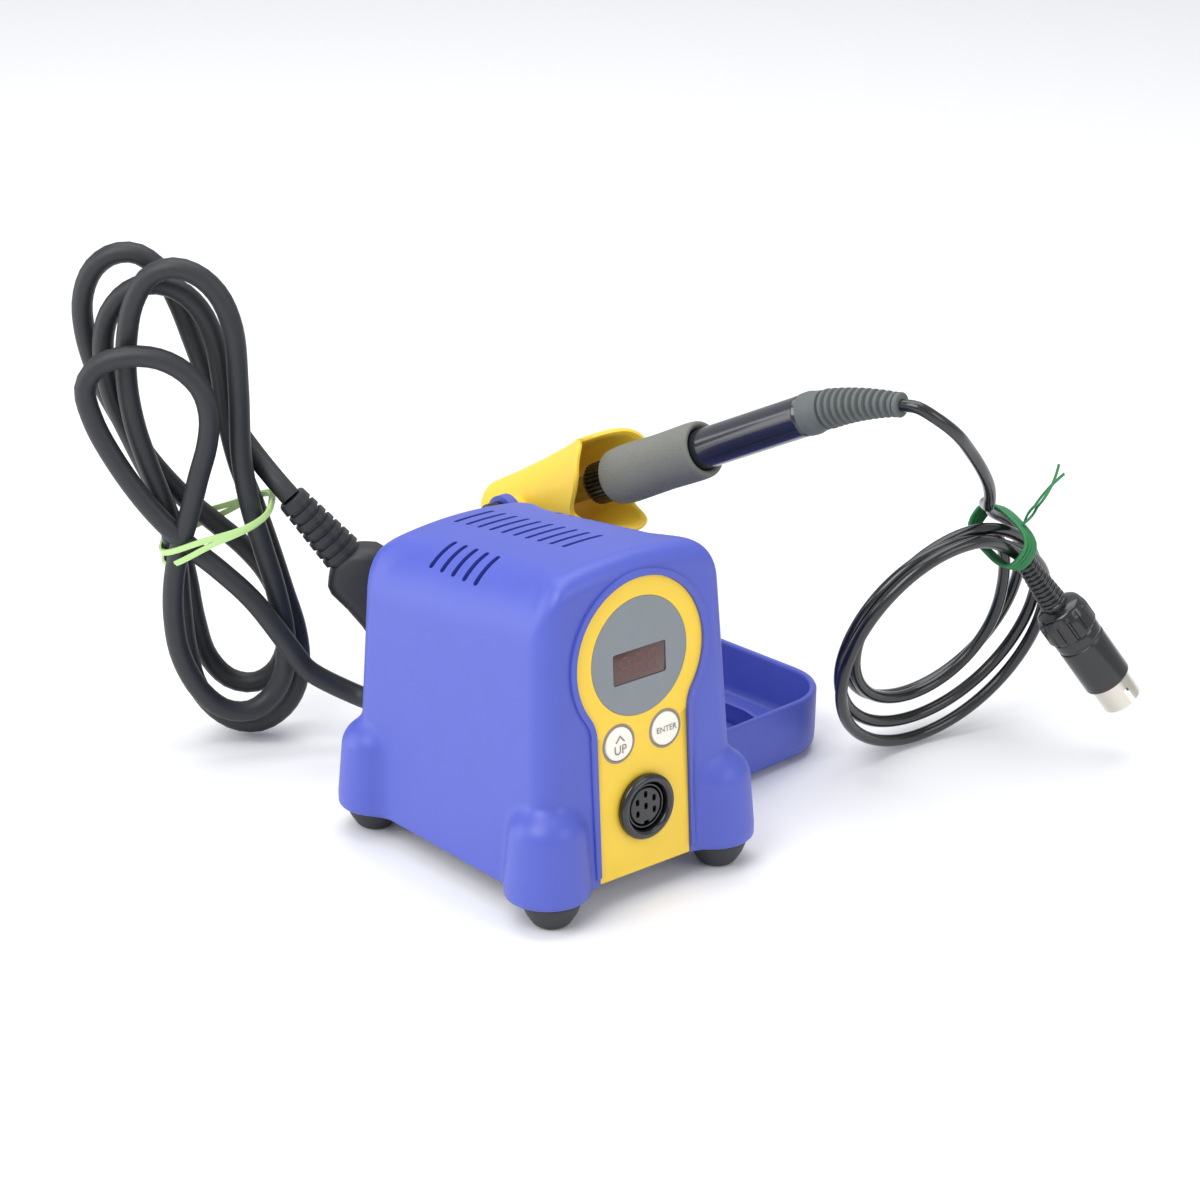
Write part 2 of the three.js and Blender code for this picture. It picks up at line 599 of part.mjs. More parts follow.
function holder() {
  const stand = new THREE.Group();
  stand.position.set(holderX, holderY, 0);
  stand.rotation.z = holderTurn;
  part.add(stand);

  const low = padHeight + gap;
  const outer = extruded(trayOutline(0), trayHeight - low, 8).translate(0, 0, low);
  const inner = extruded(trayOutline(-trayWall), trayHeight, 8).translate(0, 0, low + trayFloor);
  const ribs = [-1, 0, 1].map((k) => box(1.6, 34, 9, k * 16, -6, low + trayFloor + 3));
  piece('holder_tray', union(cut(outer, inner), ...ribs), 'blue', stand);

  const caseY = (caseFront + caseBack) / 2;
  const depth = caseBack - caseFront;
  const shellOutline = new THREE.Shape();
  const halfCase = holderWidth / 2;
  shellOutline.moveTo(-halfCase, low);
  shellOutline.lineTo(halfCase, low);
  shellOutline.lineTo(halfCase, caseHeight - 18);
  shellOutline.quadraticCurveTo(halfCase, caseHeight, halfCase - 20, caseHeight);
  shellOutline.lineTo(-halfCase + 20, caseHeight);
  shellOutline.quadraticCurveTo(-halfCase, caseHeight, -halfCase, caseHeight - 18);
  const shell = extruded(shellOutline, depth, 8).rotateX(Math.PI / 2).translate(0, caseBack, 0);
  const potRadius = 22;
  const potZ = low + trayFloor + potRadius;
  const pot = rod(potRadius, -4, depth - 4, 28).rotateX(-Math.PI / 2).translate(0, caseFront, potZ);
  const [, pivotY, pivotZ] = onAxis(-pivotAhead);
  const ears = [-1, 1].map((side) => {
    const ear = new THREE.Shape();
    ear.moveTo(pivotY - 13, caseHeight - 6);
    ear.lineTo(pivotY + 13, caseHeight - 6);
    ear.absarc(pivotY, pivotZ, 7, 0, Math.PI, false);
    return extruded(ear, earThick, 8).rotateX(Math.PI / 2).rotateZ(Math.PI / 2)
      .translate(side * earSpread - earThick / 2, 0, 0);
  });
  const pivotBores = rod(2.3, -60, 60, 14).rotateY(Math.PI / 2).translate(0, pivotY, pivotZ);
  piece('holder_case', cut(union(cut(shell, pot), ...ears), pivotBores), 'blue', stand);
  const wool = turned([
    [0, 3], [potRadius - gap - 1, 3], [potRadius - gap, 6], [potRadius - gap, depth - 6],
    [potRadius - 3, depth - 4 - gap], [0, depth - 4 - gap],
  ], 20).rotateX(-Math.PI / 2);
  piece('brass_wool', wool, 'brass', stand, 0, caseFront, potZ);

  const pad = rod(7, 0, padHeight, 20);
  const inset = holderWidth / 2 - 12;
  const pads = [['front_left', -inset, -trayFront + 16], ['front_right', inset, -trayFront + 16],
    ['rear_left', -inset, caseBack - 14], ['rear_right', inset, caseBack - 14]];
  for (const [where, x, y] of pads) piece(`holder_pad_${where}`, pad, 'rubber', stand, x, y, 0);
  receptacle(stand, pivotY, pivotZ);
  iron(stand);
}

function receptacle(stand, pivotY, pivotZ) {
  const tilt = new THREE.Group();
  tilt.position.set(0, pivotY, pivotZ);
  tilt.rotation.x = Math.PI / 2 - ironRise;
  stand.add(tilt);
  // Along the group's own z: the mouth is at +pivotAhead, the throat at pivotAhead - coneLength.
  const mouthZ = pivotAhead + 1;
  const endZ = mouthZ - coneLength;
  const outerAt = (z) => throatRadius + (mouthRadius - throatRadius) * ((z - endZ) / coneLength) ** 1.4;
  const levels = [0, 0.33, 0.67, 1].map((share) => endZ + share * coneLength);
  const outside = levels.map((z) => [outerAt(z) + coneWall, z]);
  const inside = levels.map((z) => [outerAt(z), z]).reverse();
  const cone = turned([...outside, ...inside, outside[0]], 24);
  const lobe = rod(9, -30, 30, 14).rotateY(Math.PI / 2);
  const notches = [0, 60, 120].map((turn) =>
    lobe.clone().scale(1, 1, 0.5).rotateZ((turn + 30) * inRadians).translate(0, 0, mouthZ + 1.6));
  const trunnion = rod(5, -earSpread + earThick / 2 + gap, earSpread - earThick / 2 - gap, 16)
    .rotateY(Math.PI / 2);
  const bored = rod(outerAt(0) + 0.8, -20, 20, 28);
  const hub = cut(trunnion, bored);
  const screwBores = rod(1.9, -60, 60, 12).rotateY(Math.PI / 2);
  const body = union(cut(cone, ...notches), hub);
  piece('iron_receptacle', cut(body, screwBores), 'yellow', tilt);
  const screw = turned([
    [0, outerAt(0) + 2], [1.6, outerAt(0) + 2], [1.6, earSpread + earThick / 2 + gap],
    [5.5, earSpread + earThick / 2 + gap], [5.5, earSpread + earThick / 2 + 6], [0, earSpread + earThick / 2 + 7],
  ], 20).rotateY(Math.PI / 2);
  piece('tilt_screw_right', screw, 'black', stand, 0, pivotY, pivotZ);
  const left = piece('tilt_screw_left', screw, 'black', stand, 0, pivotY, pivotZ);
  left.rotation.z = Math.PI;
}

// ---------------------------------------------------------------- iron

// Bends a shape drawn along +Z from its foot at z = 0, down towards -Y.
function bent(geometry, length, angle) {
  const shape = geometry.clone();
  const p = shape.attributes.position;
  const radius = length / angle;
  for (let k = 0; k < p.count; k += 1) {
    const z = p.getZ(k);
    if (z > 0) {
      const a = z / radius;
      const reach = radius + p.getY(k);
      p.setXYZ(k, p.getX(k), reach * Math.cos(a) - radius, reach * Math.sin(a));
    }
  }
  return shape;
}

function iron(stand) {
  const tool = new THREE.Group();
  tool.position.set(...onAxis(0));
  tool.rotation.order = 'ZXY';
  tool.rotation.set(Math.PI / 2 - ironRise, 0, ironTurn);
  stand.add(tool);
  const bore = handleRadius + gap;
  const foam = turned([
    [bore, 0], [foamRadius - 2.4, 0], [foamRadius - 0.6, 1.6], [foamRadius, 5],
    [foamRadius - 0.3, foamLength * 0.5], [foamRadius, foamLength - 4], [foamRadius - 1.2, foamLength],
    [bore, foamLength], [bore, 0],
  ], 20);
  piece('foam_grip', foam, 'foam', tool);
  const heaterBore = 3.4;
  const handle = turned([
    [0, handleLength], [handleRadius - 0.5, handleLength], [handleRadius, handleLength - 1], [handleRadius, 0],
    [heaterBore, 0], [heaterBore, 24], [0, 24],
  ], 24);
  piece('handle', handle, 'navy', tool);
  const nutOutline = [];
  for (let k = 0; k < 36; k += 1) {
    const angle = (k / 36) * Math.PI * 2;
    const radius = nutRadius - (k % 2 ? 0.6 : 0);
    nutOutline.push(new THREE.Vector2(radius * Math.cos(angle), radius * Math.sin(angle)));
  }
  const nut = cut(extruded(new THREE.Shape(nutOutline), nutLength - gap), rod(barrelRadius + gap, -2, nutLength, 20));
  piece('barrel_nut', nut, 'black', tool, 0, 0, -nutLength);
  const barrelLow = -nutLength - barrelLength + 8;
  const barrel = turned([
    [heaterBore - 0.2, barrelLow], [barrelRadius - 0.8, barrelLow], [barrelRadius, barrelLow + 2],
    [barrelRadius, -gap], [heaterBore - 0.2, -gap], [heaterBore - 0.2, barrelLow],
  ], 20);
  piece('heater_barrel', barrel, 'steel', tool);
  const heater = turned([[0, barrelLow + 4], [2, barrelLow + 5], [2, 20], [0, 20]], 14);
  piece('heater', heater, 'cream', tool);
  const tipTop = barrelLow + 18;
  const tip = turned([
    [0, barrelLow - tipLength], [0.5, barrelLow - tipLength], [2.6, barrelLow - tipLength + 9],
    [2.9, barrelLow - 1], [2.9, tipTop], [2.3, tipTop], [2.3, barrelLow + 3], [0, barrelLow + 3],
  ], 16);
  piece('tip', tip, 'nickel', tool);
  const boot = turned([
    [0, gap], [handleRadius + 0.4, gap], [handleRadius + 0.4, 3], [handleRadius - 0.4, 4],
    ...[0.3, 0.5, 0.7, 0.85].map((share) => [handleRadius - 0.4 - 2.6 * share, share * bootLength]),
    [5.3, bootLength], [0, bootLength],
  ], 16);
  piece('cord_boot', bent(boot, bootLength, bootBend), 'grey', tool, 0, 0, handleLength);
}

// ---------------------------------------------------------------- cords

// The power cord leaves the gland, runs back along the floor side and joins its tied hank.
function powerCordPieces() {
  const glandEnd = rearY - leanAt(glandZ) / 2 + glandLength + gap;
  const lead = tube([
    [glandX, glandEnd, glandZ], [glandX, glandEnd + 5, glandZ - 0.1], [-4, 97, 21.5], [-0.6, 107, 17],
    [-0.4, 112.2, 17.6],
  ], powerCord, 10, 12);
  piece('power_cord', lead, 'rubber', part);
  const hank = new THREE.Group();
  hank.position.set(hankX, hankY, 0);
  hank.rotation.z = hankTurn;
  part.add(hank);
  const outline = new THREE.Shape();
  outline.moveTo(-2, 0.6);
  outline.quadraticCurveTo(17, 2, 19, 28);
  outline.quadraticCurveTo(18, 62, 6, 88);
  outline.quadraticCurveTo(3, 110, 2, 138);
  outline.quadraticCurveTo(0, 184, -26, 185);
  outline.lineTo(-46, 186);
  outline.quadraticCurveTo(-66, 182, -64, 150);
  outline.quadraticCurveTo(-60, 120, -34, 82);
  outline.quadraticCurveTo(-34, 50, -29, 22);
  outline.quadraticCurveTo(-22, 1, -2, 0.6);
  const body = extruded(outline, hankThick, 5).rotateX(Math.PI / 2).translate(0, hankThick / 2, 0);
  piece('power_cord_hank', body, 'rubber', hank);
  const loop = extruded(roundedRectangle(57, hankThick + 4, 8), 3, 4).translate(0, 0, -1.5);
  const loopHole = extruded(roundedRectangle(55, hankThick + 2, 7), 6, 4).translate(0, 0, -3);
  piece('rubber_band', cut(loop, loopHole), 'band', hank, -14, 0, 83).rotation.y = -27 * inRadians;
  mainsPlug(hank);
}

// The moulded plug hangs beside the hank, its strain relief at the top.
function mainsPlug(hank) {
  const plug = new THREE.Group();
  plug.position.set(plugX, 0, plugZ);
  plug.rotation.y = Math.PI - plugTurn;
  hank.add(plug);
  const relief = turned([[0, 0], [powerCord / 2 + 1.4, 0], [7.4, reliefLength], [0, reliefLength]], 16);
  const body = extruded(roundedRectangle(plugWidth, plugThick, 6), plugBody, 4)
    .translate(0, 0, reliefLength - 1);
  const slots = [-1, 1].map((side) => box(7, 1.9, 8, side * 6.4, 0, reliefLength + plugBody - 3));
  piece('mains_plug', cut(union(relief, body), ...slots), 'rubber', plug);
  const blade = box(6.3, 1.5 - gap, 20, 0, 0, 6);
  [-1, 1].forEach((side, k) => piece(`plug_blade_${k + 1}`, blade, 'brass', plug,
    side * 6.4, 0, reliefLength + plugBody + 1));
}

// The iron's cord hangs from the iron, is wound into a tied coil and ends in its connector.
function ironCordPieces() {
  const coil = new THREE.Group();
  coil.position.set(coilX, coilY, coilZ);
  coil.rotation.order = 'ZXY';
  coil.rotation.set(Math.PI / 2 + coilLean, 0, coilTurn);
  part.add(coil);
  piece('iron_cord_coil', ring(coilOuter, coilInner, -coilThick / 2, coilThick / 2, 32), 'black', coil);
  const tie = new THREE.Group();
  tie.position.set((coilOuter + coilInner) / 2 * Math.cos(tieAngle), (coilOuter + coilInner) / 2 * Math.sin(tieAngle), 0);
  tie.rotation.z = tieAngle;
  coil.add(tie);
  const span = coilOuter - coilInner;
  const loop = extruded(roundedRectangle(span + 4, coilThick + 4, 1.8), 7, 2);
  const hole = extruded(roundedRectangle(span + 2, coilThick + 2, 1.2), 9, 2).translate(0, 0, -1);
  const wrap = cut(loop, hole).rotateX(Math.PI / 2).translate(0, 3.5, 0);
  const tails = box(24, 1.2, 2.2, span / 2 + 12, 0, 2);
  piece('twist_tie', union(wrap, tails), 'green', tie);
  const lead = tube(ironLead, ironCord, 10, 14);
  piece('iron_cord', lead, 'black', part);

  const plug = new THREE.Group();
  plug.position.set(...connectorFoot);
  plug.quaternion.setFromUnitVectors(new THREE.Vector3(0, 0, 1), new THREE.Vector3(...connectorWay).normalize());
  part.add(plug);
  const boot = turned([[0, 0], [3.4, 0], [4.9, 22], [0, 22]], 14);
  piece('connector_boot', boot, 'black', plug);
  const collar = turned([[0, 22.3], [6, 22.6], [9.3, 26], [9.7, 28], [9.7, 34.4], [0, 34.4]], 24);
  piece('connector_collar', collar, 'black', plug);
  const bodyTop = 34.7 + connectorBody;
  const body = turned([[0, 34.7], [8.9, 34.7], [8.9, bodyTop], [shellRadius + gap, bodyTop], [shellRadius + gap, bodyTop - 6],
    [0, bodyTop - 6]], 24);
  piece('connector_body', body, 'black', plug);
  const shell = ring(shellRadius, shellRadius - 0.8, bodyTop - 6 + gap, bodyTop + shellLength - 4, 24);
  piece('connector_shell', shell, 'nickel', plug);
  const insert = rod(shellRadius - 0.8 - gap, bodyTop - 6 + gap, bodyTop + 1, 20);
  const pin = rod(0.75, bodyTop - 2, bodyTop + 7, 8);
  const pins = [0, 1, 2, 3, 4].map((k) => pin.clone().translate(
    4.6 * Math.cos(k * 60 * inRadians), 4.6 * Math.sin(k * 60 * inRadians), 0));
  piece('connector_pins', union(insert, ...pins), 'black', plug);
}

powerCordPieces();
part.add(baseUnit());
holder();
ironCordPieces();

// The origin: on the floor, under the middle of the box of everything but the cords and what is on them.
const onCords = ['power_cord', 'power_cord_hank', 'rubber_band', 'mains_plug', 'plug_blade_1', 'plug_blade_2',
  'iron_cord', 'iron_cord_coil', 'twist_tie', 'connector_boot', 'connector_collar', 'connector_body',
  'connector_shell', 'connector_pins'];
part.updateMatrixWorld(true);
const rigid = new THREE.Box3();
part.traverse((node) => {
  if (node.isMesh && !onCords.includes(node.name)) rigid.expandByObject(node, true);
});
const middle = rigid.getCenter(new THREE.Vector3());
part.position.set(-middle.x, -middle.y, -rigid.min.z);

export default part;
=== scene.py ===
"""A temperature-controlled soldering station: the base unit, its iron, the holder and both cords."""

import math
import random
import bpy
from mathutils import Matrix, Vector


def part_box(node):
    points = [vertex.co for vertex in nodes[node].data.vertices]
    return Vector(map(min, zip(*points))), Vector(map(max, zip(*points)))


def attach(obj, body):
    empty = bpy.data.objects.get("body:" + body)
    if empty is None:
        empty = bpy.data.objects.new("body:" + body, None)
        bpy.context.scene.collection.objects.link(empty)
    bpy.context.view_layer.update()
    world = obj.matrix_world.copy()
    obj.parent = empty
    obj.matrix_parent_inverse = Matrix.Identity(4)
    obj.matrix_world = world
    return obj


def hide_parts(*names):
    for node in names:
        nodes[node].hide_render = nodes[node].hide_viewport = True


bl_info = {
    "name": "Soldering station",
    "version": (1, 0, 0),
    "blender": (4, 5, 0),
    "location": "3D View > Sidebar > Soldering",
    "description": "Builds a temperature-controlled soldering station with its iron and holder",
    "category": "Add Mesh",
}

import bmesh
import bpy
import numpy as np
from mathutils import Matrix, Vector

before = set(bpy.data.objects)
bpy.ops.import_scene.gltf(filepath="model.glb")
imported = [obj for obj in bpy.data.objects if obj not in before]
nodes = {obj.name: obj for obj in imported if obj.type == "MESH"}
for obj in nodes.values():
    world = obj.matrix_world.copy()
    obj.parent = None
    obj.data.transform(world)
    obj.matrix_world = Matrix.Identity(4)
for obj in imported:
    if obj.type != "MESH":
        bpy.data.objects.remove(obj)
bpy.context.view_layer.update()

CORNERS = ("front_left", "front_right", "rear_left", "rear_right")
SIGNS = ((-1, -1), (1, -1), (-1, 1), (1, 1))
MM = 0.001

# ---------------------------------------------------------------- sizes, in millimetres

SKIRT = 9.5  # lower edge of the housing
FRONT_Y = -53.4
REAR_Y = 53.4
SIDE_X = 43.4
CREST = 120.0
LEAN = math.radians(3.26)  # the front leans back
DRAFT = math.radians(3)  # the side walls lean in
ROOF_FALL = math.radians(8)  # the roof falls to the rear
POD_X, POD_Y, POD_RADIUS, POD_TOP = 35.7, 45.7, 14.3, 40.5
CORNER_ROUND = 8.5  # vertical corners
SHOULDER_ROUND = 18.0  # where the sides meet the roof
ROOF_EDGE_ROUND = 7.5  # where the front and the rear meet the roof
ARCH = 0.0032  # fall of the roof to its sides, per square millimetre
POD_TAPER, POD_CROWN, POD_FILLET = 0.09, 9.0, 3.0
WALL = 2.5
FRONT_WALL = 4.6
SLOT_PITCH = 6.35
ROOF_SLOTS, ROOF_SLOT_Y = 10, -20.0
SHOULDER_SLOTS, SHOULDER_SLOT_X, SHOULDER_SLOT_Y, SHOULDER_SLOT_Z = 5, 31.0, -6.0, 112.0
SHOULDER_TILT = 34.0  # degrees

PANEL_CIRCLE, PANEL_NECK, PANEL_FILLET, PANEL_RISE = 27.0, 19.5, 14.0, 72.6
DISC_RADIUS = 20.1
BUTTON_RISE, BUTTON_SPREAD, BUTTON_RADIUS = 44.7, 9.9, 5.8
SOCKET_RISE = 20.3
WINDOW_RISE, WINDOW_WIDTH, WINDOW_HEIGHT = 69.9, 22.2, 10.6
GLAND_X, GLAND_Z = -5.0, 24.0
FOOT_X, FOOT_Y = 36.1, 48.2
SWITCH_Y, SWITCH_Z = 22.0, 34.0

HOLDER_WIDTH, TRAY_FRONT, TRAY_BACK, TRAY_TOP, TRAY_CORNER = 78.0, 38.0, 48.0, 24.0, 23.0
CASE_FRONT, CASE_BACK, CASE_TOP = 48.3, 100.0, 46.0
POT_RADIUS, POT_RISE = 22.0, 27.3
EAR_SPREAD, EAR_THICK, PIVOT_AHEAD = 22.0, 4.0, 40.0
EAR_RADIUS = 7.2
THROAT_RADIUS, MOUTH_RADIUS, CONE_LENGTH = 11.0, 17.0, 67.5
IRON_RISE = math.radians(26.8)
IRON_TURN = math.radians(7)
SEAT_Y, SEAT_Z = 40.3, 92.7
FOAM_LENGTH, FOAM_RADIUS = 45.0, 10.8
HANDLE_LENGTH, HANDLE_RADIUS = 94.0, 7.4
BARREL_END = -40.5  # the end that holds the tip
BOOT_LENGTH, BOOT_BEND = 40.5, math.radians(19.5)

POWER_CORD, IRON_CORD = 7.6, 4.4  # diameters
CORD_STEP = 2.0
COIL_PITCH = 4.7  # from one turn of the coil to the next, across its plane
TIE_ANGLE = math.radians(64)

LENS = 100.39
CAMERA_SPOT = (-649.8, -801.5, 505.7)
CAMERA_TURN, CAMERA_DROP, CAMERA_ROLL = -40.07, 21.99, 0.28  # degrees

# ---------------------------------------------------------------- frames of reference


def shift(x, y, z):
    return Matrix.Translation((x, y, z))


def turn(degrees, axis):
    return Matrix.Rotation(math.radians(degrees), 4, axis)


def lean_at(z):
    return (z - SKIRT) * math.tan(LEAN)


def foot_middle():
    boxes = [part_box(f"foot_{where}") for where in CORNERS]
    return sum((Vector(low) + Vector(high) for low, high in boxes), Vector()) / 8


CREST_Y = FRONT_Y + lean_at(CREST)
PIVOT_Y = SEAT_Y + PIVOT_AHEAD * math.cos(IRON_RISE)
PIVOT_Z = SEAT_Z - PIVOT_AHEAD * math.sin(IRON_RISE)
LAY = turn(90 - math.degrees(IRON_RISE), "X")

_middle = foot_middle()
STATION = shift(_middle.x, _middle.y, 0) @ Matrix.Scale(MM, 4)
FACE = STATION @ shift(0, FRONT_Y + lean_at(SKIRT + 3), SKIRT + 3) @ turn(90 - math.degrees(LEAN), "X")
HOLDER = STATION @ shift(92, 28, 0) @ turn(4, "Z")
PIVOT = HOLDER @ shift(0, PIVOT_Y, PIVOT_Z) @ LAY
TOOL = HOLDER @ shift(0, SEAT_Y, SEAT_Z) @ turn(math.degrees(IRON_TURN), "Z") @ LAY
COIL = STATION @ shift(156, -32, 50.8) @ turn(-5.7, "Z") @ turn(109.3, "X")
HANK = STATION @ shift(-26, 131, 0) @ turn(-40, "Z")
PLUG = HANK @ shift(13, 0, 94) @ turn(140, "Y")
_way = Vector((0.484, -0.316, -0.816)).normalized()
CONNECTOR = STATION @ shift(174.5, -53.5, 77) @ _way.to_track_quat("Z", "Y").to_matrix().to_4x4()
ACROSS = turn(90, "Y")  # stands a shape drawn along Z on X
ALONG = turn(-90, "X")  # lays a shape drawn along Z on Y

# ---------------------------------------------------------------- mesh helpers


def soften(points, reach, steps=4, closed=False):
    """Rounds the corners of a line of 2D points."""
    count = len(points)
    made = []
    for k, corner in enumerate(points):
        if not closed and k in (0, count - 1):
            made.append(tuple(corner))
            continue
        corner = Vector(corner)
        back = Vector(points[k - 1]) - corner
        ahead = Vector(points[(k + 1) % count]) - corner
        near = corner + back.normalized() * min(reach, back.length * 0.49)
        far = corner + ahead.normalized() * min(reach, ahead.length * 0.49)
        for j in range(steps + 1):
            t = j / steps
            spot = near * (1 - t) ** 2 + corner * (2 * t * (1 - t)) + far * t**2
            made.append(tuple(spot))
    return made


def lathe(profile, sides=48, radius=None):
    """A turned mesh about Z from (radius, height) pairs; radius(angle, r, z) may shape it."""
    verts, faces = [], []
    rows = []
    for r, z in profile:
        if r < 1e-6:
            rows.append([len(verts)])
            verts.append((0, 0, z))
            continue
        rows.append(list(range(len(verts), len(verts) + sides)))
        for k in range(sides):
            angle = 2 * math.pi * k / sides
            reach = radius(angle, r, z) if radius else r
            verts.append((reach * math.cos(angle), reach * math.sin(angle), z))
    for low, high in zip(rows, rows[1:]):
        for k in range(sides):
            j = (k + 1) % sides
            ring = [low[k % len(low)], low[j % len(low)], high[j % len(high)], high[k % len(high)]]
            faces.append(list(dict.fromkeys(ring)))
    return verts, faces


def skinned(rings, caps=True):
    """A mesh over rings with the same number of points."""
    count = len(rings[0])
    verts = [tuple(p) for ring in rings for p in ring]
    faces = []
    for k in range(len(rings) - 1):
        for i in range(count):
            j = (i + 1) % count
            faces.append([k * count + i, k * count + j, (k + 1) * count + j, (k + 1) * count + i])
    if caps:
        faces.append(list(range(count))[::-1])
        faces.append([(len(rings) - 1) * count + i for i in range(count)])
    return verts, faces


def prism(outline, low, high, bevel=0.0, segments=3):
    """An outline in x and y drawn along Z, with rounded rims."""
    made = bmesh.new()
    foot = [made.verts.new((x, y, low)) for x, y in outline]
    head = [made.verts.new((x, y, high)) for x, y in outline]
    count = len(outline)
    made.faces.new(foot[::-1])
    made.faces.new(head)
    for k in range(count):
        j = (k + 1) % count
        made.faces.new((foot[k], foot[j], head[j], head[k]))
    if bevel:
        rims = [e for e in made.edges if abs(e.verts[0].co.z - e.verts[1].co.z) < 1e-6]
        bmesh.ops.bevel(made, geom=rims, offset=bevel, segments=segments, affect="EDGES", profile=0.5)
    made.verts.index_update()
    verts = [tuple(v.co) for v in made.verts]
    faces = [[v.index for v in f.verts] for f in made.faces]
    made.free()
    return verts, faces


def rounded_box(width, height, radius, x=0.0, y=0.0, steps=6):
    w, h = width / 2, height / 2
    square = [(x - w, y - h), (x + w, y - h), (x + w, y + h), (x - w, y + h)]
    made = []
    for k, (cx, cy) in enumerate(square):
        inner = Vector((cx - math.copysign(radius, cx - x), cy - math.copysign(radius, cy - y)))
        for j in range(steps + 1):
            angle = math.radians(180 + 90 * k + 90 * j / steps)
            made.append((inner.x + radius * math.cos(angle), inner.y + radius * math.sin(angle)))
    return made


def disc_outline(radius, x=0.0, y=0.0, sides=64):
    return [(x + radius * math.cos(2 * math.pi * k / sides), y + radius * math.sin(2 * math.pi * k / sides))
            for k in range(sides)]


def tube(points, radius, sides=8, flat=1.0):
    """A closed tube along points, flattened across its run where flat is under 1."""
    points = [Vector(p) for p in points]
    rings = []
    side = None
    for k, spot in enumerate(points):
        way = (points[min(k + 1, len(points) - 1)] - points[max(k - 1, 0)]).normalized()
        if side is None:
            side = way.orthogonal().normalized()
        side = (side - way * side.dot(way)).normalized()
        other = way.cross(side)
        rings.append([spot + side * radius * math.cos(a) + other * radius * flat * math.sin(a)
                      for a in (2 * math.pi * j / sides for j in range(sides))])
    return skinned(rings)


def joined(*parts):
    verts, faces = [], []
    for more, rings in parts:
        start = len(verts)
        verts += list(more)
        faces += [[start + k for k in face] for face in rings]
    return verts, faces


def moved(shape, place):
    return [tuple(place @ Vector(v)) for v in shape[0]], shape[1]


def mesh_object(name, shape, place):
    mesh = bpy.data.meshes.new(name)
    mesh.from_pydata([place @ Vector(v) for v in shape[0]], [], shape[1])
    mesh.validate()
    work = bmesh.new()
    work.from_mesh(mesh)
    bmesh.ops.remove_doubles(work, verts=work.verts, dist=1e-7)
    bmesh.ops.recalc_face_normals(work, faces=work.faces)
    work.to_mesh(mesh)
    work.free()
    obj = bpy.data.objects.new(name, mesh)
    bpy.context.scene.collection.objects.link(obj)
    return obj


def apply_modifiers(obj):
    bpy.context.view_layer.update()
    shown = obj.evaluated_get(bpy.context.evaluated_depsgraph_get())
    mesh = bpy.data.meshes.new_from_object(shown)
    mesh.name = obj.name
    obj.modifiers.clear()
    obj.data = mesh


def carve(obj, shapes, place, operation="DIFFERENCE"):
    """Cuts shapes out of an object, or joins them to it."""
    for k, shape in enumerate(shapes):
        tool = mesh_object(f"{obj.name}_tool_{k}", shape, place)
        step = obj.modifiers.new("carve", "BOOLEAN")
        step.operation = operation
        step.solver = "EXACT"
        step.object = tool
        apply_modifiers(obj)
        bpy.data.objects.remove(tool)


def shade(obj, angle=35):
    obj.data.shade_smooth()
    obj.data.set_sharp_from_angle(angle=math.radians(angle))


def piece(name, shape, place, finish, body, stands_for=(), angle=35):
    """Makes one shown piece, gives it its finish and lets it move with its body."""
    obj = shape if isinstance(shape, bpy.types.Object) else mesh_object(name, shape, place)
    if obj.type == "MESH":
        shade(obj, angle)
    obj.data.materials.clear()
    obj.data.materials.append(finishes()[finish])
    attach(obj, body)
    if stands_for:
        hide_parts(*([stands_for] if isinstance(stands_for, str) else stands_for))
    return obj


def smooth_run(points, step):
    """Points a step apart on a smooth line through points."""
    line = [Vector(p) for p in points]
    line = [line[0] * 2 - line[1], *line, line[-1] * 2 - line[-2]]
    dense = []
    for a, b, c, d in zip(line, line[1:], line[2:], line[3:]):
        gaps = [max(1e-6, (q - p).length) ** 0.5 for p, q in ((a, b), (b, c), (c, d))]
        into = ((b - a) / gaps[0] - (c - a) / (gaps[0] + gaps[1]) + (c - b) / gaps[1]) * gaps[1]
        out = ((c - b) / gaps[1] - (d - b) / (gaps[1] + gaps[2]) + (d - c) / gaps[2]) * gaps[1]
        for k in range(16):
            t = k / 16
            dense.append(b * (2 * t**3 - 3 * t**2 + 1) + into * (t**3 - 2 * t**2 + t)
                         + c * (-2 * t**3 + 3 * t**2) + out * (t**3 - t**2))
    dense.append(line[-2])
    reach = [0.0]
    for p, q in zip(dense, dense[1:]):
        reach.append(reach[-1] + (q - p).length)
    count = max(2, round(reach[-1] / step))
    marks = np.linspace(0, reach[-1], count + 1)
    flat = np.array([tuple(p) for p in dense])
    columns = [np.interp(marks, reach, flat[:, k]) for k in range(3)]
    return [Vector(p) for p in zip(*columns)]


def cord_curve(name, points, diameter):
    """A round cord as one open curve."""
    data = bpy.data.curves.new(name, "CURVE")
    data.dimensions = "3D"
    data.bevel_depth = diameter / 2 * MM
    data.bevel_resolution = 5
    data.use_fill_caps = True
    line = data.splines.new("POLY")
    line.points.add(len(points) - 1)
    for spot, p in zip(line.points, points):
        spot.co = (*p, 1)
    line.use_smooth = True
    obj = bpy.data.objects.new(name, data)
    bpy.context.scene.collection.objects.link(obj)
    return obj


# ---------------------------------------------------------------- distance fields for the housing


def round_max(a, b, radius):
    """The overlap of two fields, its edge rounded."""
    edge = np.hypot(np.maximum(radius + a, 0), np.maximum(radius + b, 0))
    return np.minimum(-radius, np.maximum(a, b)) + edge


def round_min(a, b, radius):
    """Two fields together, with a fillet where they meet."""
    return -round_max(-a, -b, radius)


